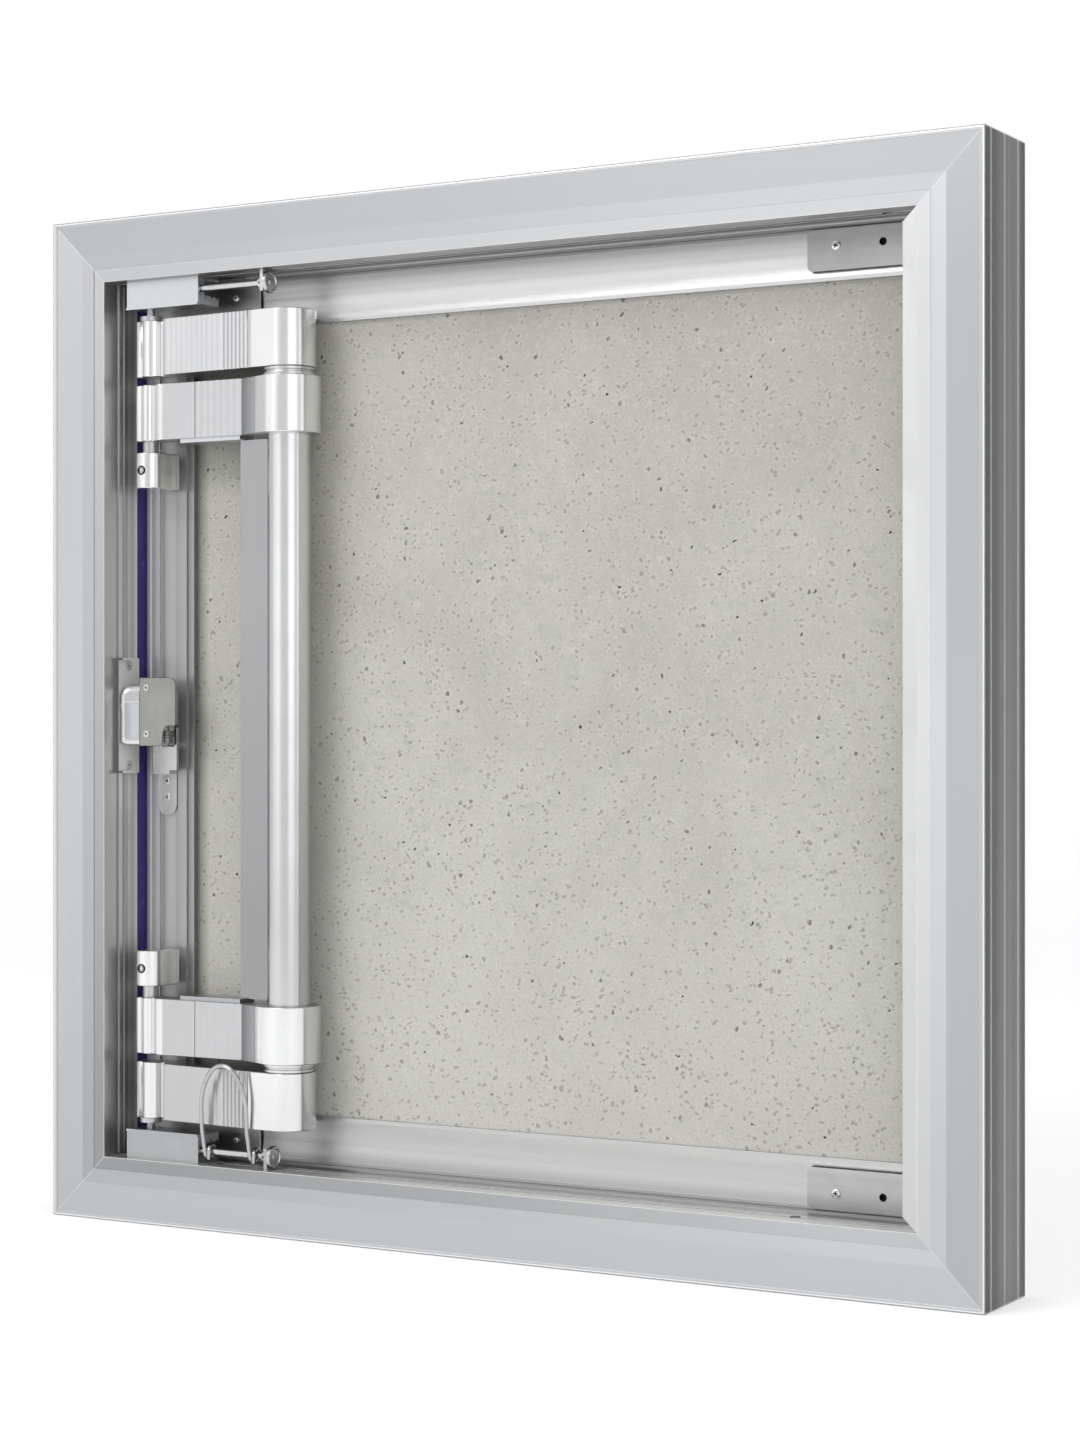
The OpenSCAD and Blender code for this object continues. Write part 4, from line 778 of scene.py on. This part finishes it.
def arm_look(x, y):
    """Rolled barrels and the bush tube shine more than the flats."""
    return 1 if x > 117.5 or (x < 57.0 and y < 17.5 and x > 44.5) else 0


for half, name in ((1, "upper"), (-1, "lower")):
    bm = bmesh.new()
    put_prism(bm, frame_arm_outline(), *span_z(half, *FRAME_ARM_Z), 0.3, arm_look)
    piece(f"{name}_frame_arm_body", bm, [arm_metal, barrel_metal], "frame_arms", [f"{name}_frame_arm"])


def knuckle_outline():
    """The link arm's hinge half: a rolled end, a narrow bead over the pin and a flat up to the split."""
    line = arc(PIVOT_X, AXIS_Y, 7.4, 180, 214, 5)
    line += [(42.6, 12.6), (44.2, 11.9), (45.6, 12.1), (46.2, 12.8)]
    line += arc(49.6, 14.2, 3.5, 204, 336, 18)
    line += [(53.3, 12.9), (54.0, 12.1), (55.2, 11.45), (56.8, 11.0), (58.6, 10.72), (60.5, 10.6)]
    line += wavy(60.9, 79.8, 10.6, 10.6, 3.6, 0.03)
    line += [(80.35, 10.7), (80.35, 25.4), (PIVOT_X, 25.4)]
    line += arc(PIVOT_X, AXIS_Y, 7.4, 96, 174, 12)
    return line


def knuckle_look(x, y):
    """The rolled end shines more than the flat."""
    return 1 if x < 60.0 else 0


def link_outline():
    """The link arm's tube half: soft flutes, a slanted shoulder and the collar."""
    line = [(80.6, 10.75), (80.95, 10.6)]
    line += wavy(81.6, 108.8, 10.6, 10.6, 4.0, 0.09)
    line += [(109.0, 10.62), (109.3, 10.5)]
    line += [(118.2, 7.05), (119.4, 6.55), (120.6, 5.95), (121.8, 5.35), (123.0, 4.75), (124.2, 4.25)]
    line += arc(ELBOW_X, AXIS_Y, 15.7, 243, 477, 72)
    line += [(109.0, 25.4), (80.6, 25.4)]
    return line


def link_look(x, y):
    """The collar shines more than the flat, and the slanted shoulder takes a darker copy of the metal, as
    painted shade.
    """
    return 1 if x > 121.0 else (2 if x > 109.1 and y < 12 else 0)


for half, name in ((1, "upper"), (-1, "lower")):
    bm = bmesh.new()
    put_prism(bm, knuckle_outline(), *span_z(half, *LINK_ARM_Z), 0.3, knuckle_look)
    piece(f"{name}_link_knuckle_body", bm, [arm_metal, barrel_metal], "link", [f"{name}_link_knuckle"])
    bm = bmesh.new()
    put_prism(bm, link_outline(), *span_z(half, *LINK_ARM_Z), 0.3, link_look)
    piece(f"{name}_link_arm_body", bm, [arm_metal, barrel_metal, shoulder_shade_metal], "link", [f"{name}_link_arm"])


# Door clamps with their set screws
CLAMP_Z = (115.8, 133.5)
CLAMP_R = 7.5


def clamp_outline():
    """The clamp in plan: a round nose over the pin, and a body that flares at its foot."""
    line = [(40.2, 30.0), (40.2, 21.0)]
    line += arc(PIVOT_X, AXIS_Y, CLAMP_R, 180, 352, 40)
    line += [(55.15, 18.5), (55.1, 22.5), (55.15, 25.6), (55.4, 27.2)]
    line += [(55.8, 28.6), (56.3, 29.6), (56.3, 30.0)]
    return line


for half, name in ((1, "upper"), (-1, "lower")):
    bm = bmesh.new()
    put_prism(bm, clamp_outline(), *span_z(half, *CLAMP_Z), 0.35)
    foot = span_z(half, CLAMP_Z[0] + 2, CLAMP_Z[1] - 2)
    put_prism(bm, rectangle(43.4, 29.8, 51.0, 36.0), *foot, 0.2)
    piece(f"{name}_door_clamp_body", bm, [barrel_metal], "door", [f"{name}_door_clamp"])

# Grub screws with a socket, in a countersink painted near black as shade, on the clamp's nose
COUNTERSINK = [(0.05, 2.35), (0.0, 1.5), (-0.6, 1.4), (-0.6, 0.0)]
GRUB_SCREW = [(-0.55, 1.25), (0.06, 1.2), (0.06, 0.75), (-0.5, 0.65), (-0.5, 0.0)]
bm = bmesh.new()
for half in (1, -1):
    nose = (47.4, AXIS_Y - CLAMP_R, half * (CLAMP_Z[0] + CLAMP_Z[1]) / 2)
    out = (-0.03, -1, 0)
    for face in put_turned(bm, COUNTERSINK, nose, out, 32):
        face.material_index = 1
    put_turned(bm, GRUB_SCREW, nose, out, 24)
piece("clamp_set_screws", bm, [dark_metal, recess_shade_metal], "door", ["clamp_screws"])


# Latch: hump, back box, cover and their screws
HUMP_X, HUMP_REAR, HUMP_FRONT, HUMP_SLANT = (33.4, 43.05), 27.4, 9.0, 0.5625
# How far the hump's rounding reaches from the strip's side
HUMP_ROLL = 4.2


def hump_outline():
    """The hump in (depth, height): rounded over its top, with a curved lip at its foot."""
    line = [(HUMP_REAR, -10.3), (HUMP_REAR, 17.9), (15.0, 17.9)]
    line += arc(15.0, 11.9, 6.0, 90, 176, 14)
    line += [(HUMP_FRONT, 8.9), (9.35, 8.6), (9.35, -9.7), (HUMP_FRONT, -10.0)]
    line += arc(10.6, -11.0, 1.6, 180, 262, 6)
    line += [(12.0, -12.6), (16.0, -13.0), (HUMP_REAR, -13.0)]
    return line


def hump_ring(x):
    """The outline at one X: its face slants back to the cover and rolls over at the strip's side."""
    gone = max(0.0, HUMP_X[0] + HUMP_ROLL - x) / HUMP_ROLL
    back = 1 - math.sqrt(1 - min(1.0, gone) ** 2)
    ring = []
    for depth, height in hump_outline():
        reach = (HUMP_REAR - depth) / (HUMP_REAR - HUMP_FRONT)
        depth += reach * ((x - HUMP_X[0]) * HUMP_SLANT + back * 3.6)
        height -= back * (4.6 if height > 6 else -2.2 if height < -8 else 0.0)
        ring.append((depth, height))
    return ring


def depth_wise(a, b, c):
    """Places an outline drawn as (X, height) so that it is swept along the depth."""
    return at(a, c, b)


def on_hump(a, b, c):
    """Places an outline drawn as (X, height) on the hump's slanted face."""
    return at(a, HUMP_FRONT + (a - HUMP_X[0]) * HUMP_SLANT + c, b)


bm = bmesh.new()
cuts = (HUMP_X[0], 33.5, 33.8, 34.3, 35.0, 35.8, 36.7, 37.6, 40.0, HUMP_X[1])
put_shell(bm, [[bm.verts.new(at(x, depth, height)) for depth, height in hump_ring(x)] for x in cuts])
put_prism(bm, rectangle(43.0, -13.0, 55.6, 20.6), 16.05, 27.3, 0.3, place=depth_wise)
piece("latch_housing_body", bm, [housing_metal], "frame", ["latch_housing"], sharp=32)

bm = bmesh.new()
put_prism(bm, rectangle(36.6, -9.3, 42.9, 8.2), 0.1, 0.5, 0.12, place=on_hump)
insert_metal = metal("hump_insert", (0.50, 0.52, 0.54, 1.0), 0.30, "z", shift=0.03, grain=0.06)
piece("hump_insert_plate", bm, [insert_metal], "frame")


def cover_outline():
    """The cover as (X, height), with two round corners and a step at its lower free side."""
    line = [(43.1, -13.3)]
    line += arc(54.4, -10.8, 2.5, 270, 350, 8)
    line += [(57.4, -6.6), (58.2, -4.6), (59.6, -3.4), (61.5, -3.1), (64.6, -3.1), (65.2, -2.6)]
    line += arc(61.3, 16.9, 4.0, 0, 90, 12)
    line += [(43.1, 20.9)]
    return line


bm = bmesh.new()
put_prism(bm, cover_outline(), 14.5, 16.0, 0.35, place=depth_wise)
# The cover's bent edge at the free side
put_prism(bm, rectangle(64.2, -2.6, 65.3, 16.8), 14.7, 17.6, 0.3, place=depth_wise)
piece("latch_cover_plate", bm, [cover_metal], "frame", ["latch_cover"])

COVER_SCREW_Z, STRIP_SCREW_Z = (15.9, -7.3), (27.0, -23.0)
bm = bmesh.new()
for z in COVER_SCREW_Z:
    put_screw(bm, (47.5, 14.5, z), (0, -1, 0), 1.75, 0.55, 0.85, 5.0, 0.5)
for z in STRIP_SCREW_Z:
    put_screw(bm, (33.3, 18.5, z), (1, 0, 0), 2.1, 0.7, 1.4, 4.0, 0.3)
piece("latch_screw_set", bm, [zinc_metal, recess_shade_metal], "frame", ["latch_screws"], sharp=30)

# The striker's screws, as (height, turn of the recess)
bm = bmesh.new()
for z, turn in ((-31.0, 0.35), (-39.5, 0.1)):
    put_screw(bm, (45.6, 34.2, z), (0, -1, 0), 2.2, 0.75, 1.45, 3.5, turn)
piece("striker_screw_set", bm, [zinc_metal, recess_shade_metal], "door", ["striker_screws"], sharp=30)

# Corner plates: the rows of their screws and holes, and the depth of their rear face
PLATE_SCREW_X, PLATE_HOLE_X, PLATE_ROW_Z, PLATE_Y = (89.3, 416.7), (66.8, 439.2), 210.4, 33.5
bm = bmesh.new()
for x in PLATE_SCREW_X:
    for z, turn in ((PLATE_ROW_Z, 0.4), (-PLATE_ROW_Z, 0.7)):
        radius = 2.05 if x > HALF_W else 1.55
        put_screw(bm, (x, PLATE_Y, z), (0, -1, 0), radius, 1.1, 1.4, 3.6, turn, 0.7)
screw_metal = metal("bright_screw", (0.82, 0.82, 0.82, 1.0), 0.24, "x", shift=0.04, grain=0.08)
piece("corner_plate_screw_set", bm, [screw_metal, recess_shade_metal], "door", ["corner_plate_screws"], sharp=30)


# Release pins: a turned rod with a flat head that has a raised rim and a centre boss
ROD_Y, ROD_Z, ROD_R = 9.4, 212.7, 1.75
PIN_HEAD_R, PIN_HEAD_T = 5.5, 2.0
for half, name in ((1, "upper"), (-1, "lower")):
    low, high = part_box(f"{name}_release_pin")
    tip = low[0] * 1000 + HALF_W
    length = (high[0] - low[0]) * 1000
    neck = length - PIN_HEAD_T
    profile = [
        (0.0, 0.0), (0.0, 1.2), (0.55, ROD_R), (neck - 1.6, ROD_R), (neck - 1.2, 1.45), (neck - 0.4, 1.45),
        (neck, ROD_R), (neck, 5.1), (length - 1.7, PIN_HEAD_R), (length - 0.4, PIN_HEAD_R), (length, 5.0),
        (length, 4.3), (length - 0.45, 3.9), (length - 0.45, 1.7), (length - 0.1, 1.3), (length - 0.1, 0.0)]
    bm = bmesh.new()
    put_turned(bm, profile, (tip, ROD_Y, half * ROD_Z), (1, 0, 0), 40)
    piece(f"{name}_release_pin_turned", bm, [pin_metal], f"{name}_pin", [f"{name}_release_pin"], sharp=30)


# Wire bail: a drawn wire with one turn round the rod at each foot and short cut tails
BAIL_X, BAIL_W, BAIL_H, WIRE_R = 90.0, 27.0, 43.5, 1.08
# The height of each leg's foot over the rod, then the arch's height and its crown's radius
KNEE_H, ARCH_H, CROWN_R = 11.6, 21.5, 9.0
EYE_R, EYE_PITCH, TAIL = 2.9, 2.4, 3.6


def bail_point(x, h):
    """A place on the bail's legs and arch, which lean 2 mm to the rear from foot to crown."""
    return Vector((x, 4.0 - 2.0 * (h - KNEE_H) / (BAIL_H - KNEE_H), h - ROD_Z))


def bail_eye(x):
    """One turn round the rod, from the wire's tail to its leg."""
    steps = 24
    places = []
    for i in range(steps + 1):
        a = 2 * math.pi * i / steps
        along = x + EYE_PITCH * i / steps
        places.append(Vector((along, ROD_Y - EYE_R * math.cos(a), -ROD_Z - EYE_R * math.sin(a))))
    return places


def bail_path():
    """The whole wire: tail, eye, leg, an arch of two side arcs and a crown, leg, eye and tail."""
    half, rise = BAIL_W / 2, ARCH_H - CROWN_R
    side_r = (half ** 2 + rise ** 2 - CROWN_R ** 2) / (2 * (half - CROWN_R))
    swing = math.atan2(rise, side_r - half)
    steps = 8
    swung = [swing * i / steps for i in range(steps + 1)]
    right = [(half - side_r + side_r * math.cos(a), side_r * math.sin(a)) for a in swung]
    crown = [swing + (math.pi / 2 - swing) * i / steps for i in range(1, steps + 1)]
    right += [(CROWN_R * math.cos(a), rise + CROWN_R * math.sin(a)) for a in crown]
    arch = [(-x, h) for x, h in right] + right[-2::-1]
    middle = BAIL_X + half
    tails = [Vector((x + EYE_PITCH, ROD_Y - EYE_R, -ROD_Z - TAIL)) for x in (BAIL_X, BAIL_X + BAIL_W)]
    path = [tails[0]] + bail_eye(BAIL_X)[::-1] + [bail_point(BAIL_X, KNEE_H)]
    path += [bail_point(middle + x, BAIL_H - ARCH_H + h) for x, h in arch]
    return path + [bail_point(BAIL_X + BAIL_W, KNEE_H)] + bail_eye(BAIL_X + BAIL_W) + [tails[1]]


def put_wire(bm, path, radius):
    """A round wire along the path, with its cut ends broken by a small chamfer."""
    sides = 14
    side = Vector((1, 0, 0))
    rings = []
    last = len(path) - 1
    for i, point in enumerate(path):
        run = (path[min(i + 1, last)] - path[max(i - 1, 0)]).normalized()
        side = (side - run * side.dot(run)).normalized()
        other = run.cross(side)
        spots = [(0.0, radius)]
        if i == 0:
            spots = [(0.0, radius * 0.75), (radius * 0.3, radius)]
        if i == last:
            spots = [(-radius * 0.3, radius), (0.0, radius * 0.75)]
        rings += [put_circle(bm, point + run * shift, side, other, r, sides) for shift, r in spots]
    put_shell(bm, rings)


bm = bmesh.new()
put_wire(bm, bail_path(), WIRE_R)
piece("wire_bail_bent", bm, [wire_metal], "bail", ["wire_bail"], sharp=60)


# Elbow rings: a washer with a groove between the frame arm and the link arm
low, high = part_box("elbow_rings")
ring_r = (high[0] - low[0]) * 500 - 0.1
height = FRAME_ARM_Z[0] - LINK_ARM_Z[1]
profile = [
    (0.02, 0.0), (0.02, ring_r - 0.5), (0.35, ring_r), (1.5, ring_r), (1.9, ring_r - 0.9),
    (2.5, ring_r - 0.9), (2.9, ring_r - 0.2), (height - 0.3, ring_r - 0.2), (height - 0.02, ring_r - 0.6),
    (height - 0.02, 0.0)]
bm = bmesh.new()
for half in (1, -1):
    put_turned(bm, profile, (ELBOW_X, AXIS_Y, half * LINK_ARM_Z[1]), (0, 0, half), 64)
piece("elbow_ring_washers", bm, [ring_metal], "link", ["elbow_rings"], sharp=30)


# Dark sleeves in the open holes of the corner plates, as painted shade that fills the holes
SLEEVE = [(1.3, 0.0), (1.3, 1.35), (0.12, 1.35), (0.12, 1.78), (1.45, 1.78), (1.45, 0.0)]
bm = bmesh.new()
for x in PLATE_HOLE_X:
    for z in (PLATE_ROW_Z, -PLATE_ROW_Z):
        put_turned(bm, SLEEVE, (x, PLATE_Y, z), (0, 1, 0), 32)
piece("plate_hole_shade_sleeves", bm, [recess_shade_metal], "door", sharp=30)


# Stage, lights and camera

# How far back the sheet's own glow starts and stops to grow, in metres, and the glow there
GLOW_FROM, GLOW_TO, NEAR_GLOW, FAR_GLOW = 1.5, 3.5, 0.40, 0.48


def white_for_view(name, colour, shade):
    """A pale surface that the camera and reflections see near white, and that keeps shadows."""
    look = Look(name)
    cloud = look.span(look.noise(3, EVEN, 3, 0.5), 0.3, 0.7, 0.0, 0.03)
    look.put(look.bsdf.inputs["Base Color"], look.mix(cloud, colour, shade))
    look.bsdf.inputs["Roughness"].default_value = 0.9
    look.bsdf.inputs["Specular IOR Level"].default_value = 0.1
    path = look.nodes.new("ShaderNodeLightPath")
    seen = look.calc("MAXIMUM", path.outputs["Is Camera Ray"], path.outputs["Is Glossy Ray"])
    seen = look.calc("MAXIMUM", seen, path.outputs["Is Transmission Ray"])
    glow = look.nodes.new("ShaderNodeEmission")
    # The lamps reach the far end of the sheet less, so it glows a little more there
    look.put(glow.inputs["Strength"], look.span(look.axis("Y"), GLOW_FROM, GLOW_TO, NEAR_GLOW, FAR_GLOW))
    add = look.nodes.new("ShaderNodeAddShader")
    look.links.new(look.bsdf.outputs[0], add.inputs[0])
    look.links.new(glow.outputs[0], add.inputs[1])
    pick = look.nodes.new("ShaderNodeMixShader")
    look.links.new(seen, pick.inputs[0])
    look.links.new(look.bsdf.outputs[0], pick.inputs[1])
    look.links.new(add.outputs[0], pick.inputs[2])
    out = next(n for n in look.nodes if n.type == "OUTPUT_MATERIAL")
    look.links.new(pick.outputs[0], out.inputs["Surface"])
    return look.mat


def make_floor():
    """One sheet: a level floor that curves up into the backdrop behind the panel."""
    bm = bmesh.new()
    floor_z, front, back, bend, top = -0.2502, -5.0, 5.0, 1.2, 5.0
    outline = [(front, floor_z), (-1.2, floor_z), (0.8, floor_z), (back - bend, floor_z)]
    turn = [math.radians(d) for d in range(6, 91, 6)]
    outline += [(back - bend + bend * math.sin(a), floor_z + bend - bend * math.cos(a)) for a in turn]
    outline.append((back, top))
    rows = [[bm.verts.new((x, y, z)) for x in (-8.0, -2.5, 0.0, 2.5, 8.0)] for y, z in outline]
    for low, high in zip(rows, rows[1:]):
        for i in range(len(low) - 1):
            bm.faces.new((low[i], low[i + 1], high[i + 1], high[i]))
    mesh = bpy.data.meshes.new("studio_floor")
    bm.to_mesh(mesh)
    bm.free()
    for p in mesh.polygons:
        p.use_smooth = True
    pale, shaded = (0.80, 0.80, 0.80, 1.0), (0.76, 0.76, 0.76, 1.0)
    mesh.materials.append(white_for_view("studio_white", pale, shaded))
    obj = bpy.data.objects.new("studio_floor", mesh)
    bpy.context.scene.collection.objects.link(obj)
    # The sheet turns to face the camera of the photograph
    obj.matrix_world = Matrix.Rotation(math.radians(30.1), 4, "Z")


make_floor()


def lamp(name, place, size, power):
    """A white area lamp that points at the panel's centre."""
    data = bpy.data.lights.new(name, "AREA")
    data.shape = "RECTANGLE"
    data.size, data.size_y = size
    data.energy = power
    obj = bpy.data.objects.new(name, data)
    bpy.context.scene.collection.objects.link(obj)
    obj.location = place
    obj.rotation_euler = (-Vector(place)).to_track_quat("-Z", "Y").to_euler()


world = bpy.data.worlds.new("studio_world")
bpy.context.scene.world = world
world.use_nodes = True
back = world.node_tree.nodes["Background"]
back.inputs["Color"].default_value = WHITE
back.inputs["Strength"].default_value = 0.66

lamp("key", (1.55, -1.50, 0.80), (1.4, 2.4), 6.7)
lamp("fill", (-1.45, -1.72, 0.80), (1.5, 2.4), 4.0)
lamp("centre", (-0.77, -2.11, 0.80), (0.8, 2.4), 2.0)
lamp("high", (-0.75, -1.9, 1.6), (1.4, 0.9), 19.2)
lamp("side", (2.2, 0.2, 0.8), (1.4, 2.0), 4.9)

# The camera that was fitted to the frame's corners in the photograph
camera = bpy.data.objects.new("camera", bpy.data.cameras.new("camera"))
bpy.context.scene.collection.objects.link(camera)
bpy.context.scene.camera = camera
camera.data.sensor_fit = "VERTICAL"
camera.data.sensor_height = 36.0
camera.data.sensor_width = 36.0
camera.data.lens = 73.07
camera.data.shift_y = -0.0004
camera.data.clip_start, camera.data.clip_end = 0.05, 20.0
camera.location = (0.704, -1.1776, 0.0)
camera.rotation_euler = Vector((-0.50195, 0.8649, 0.0)).to_track_quat("-Z", "Y").to_euler()

bpy.context.scene.view_settings.view_transform = "Standard"
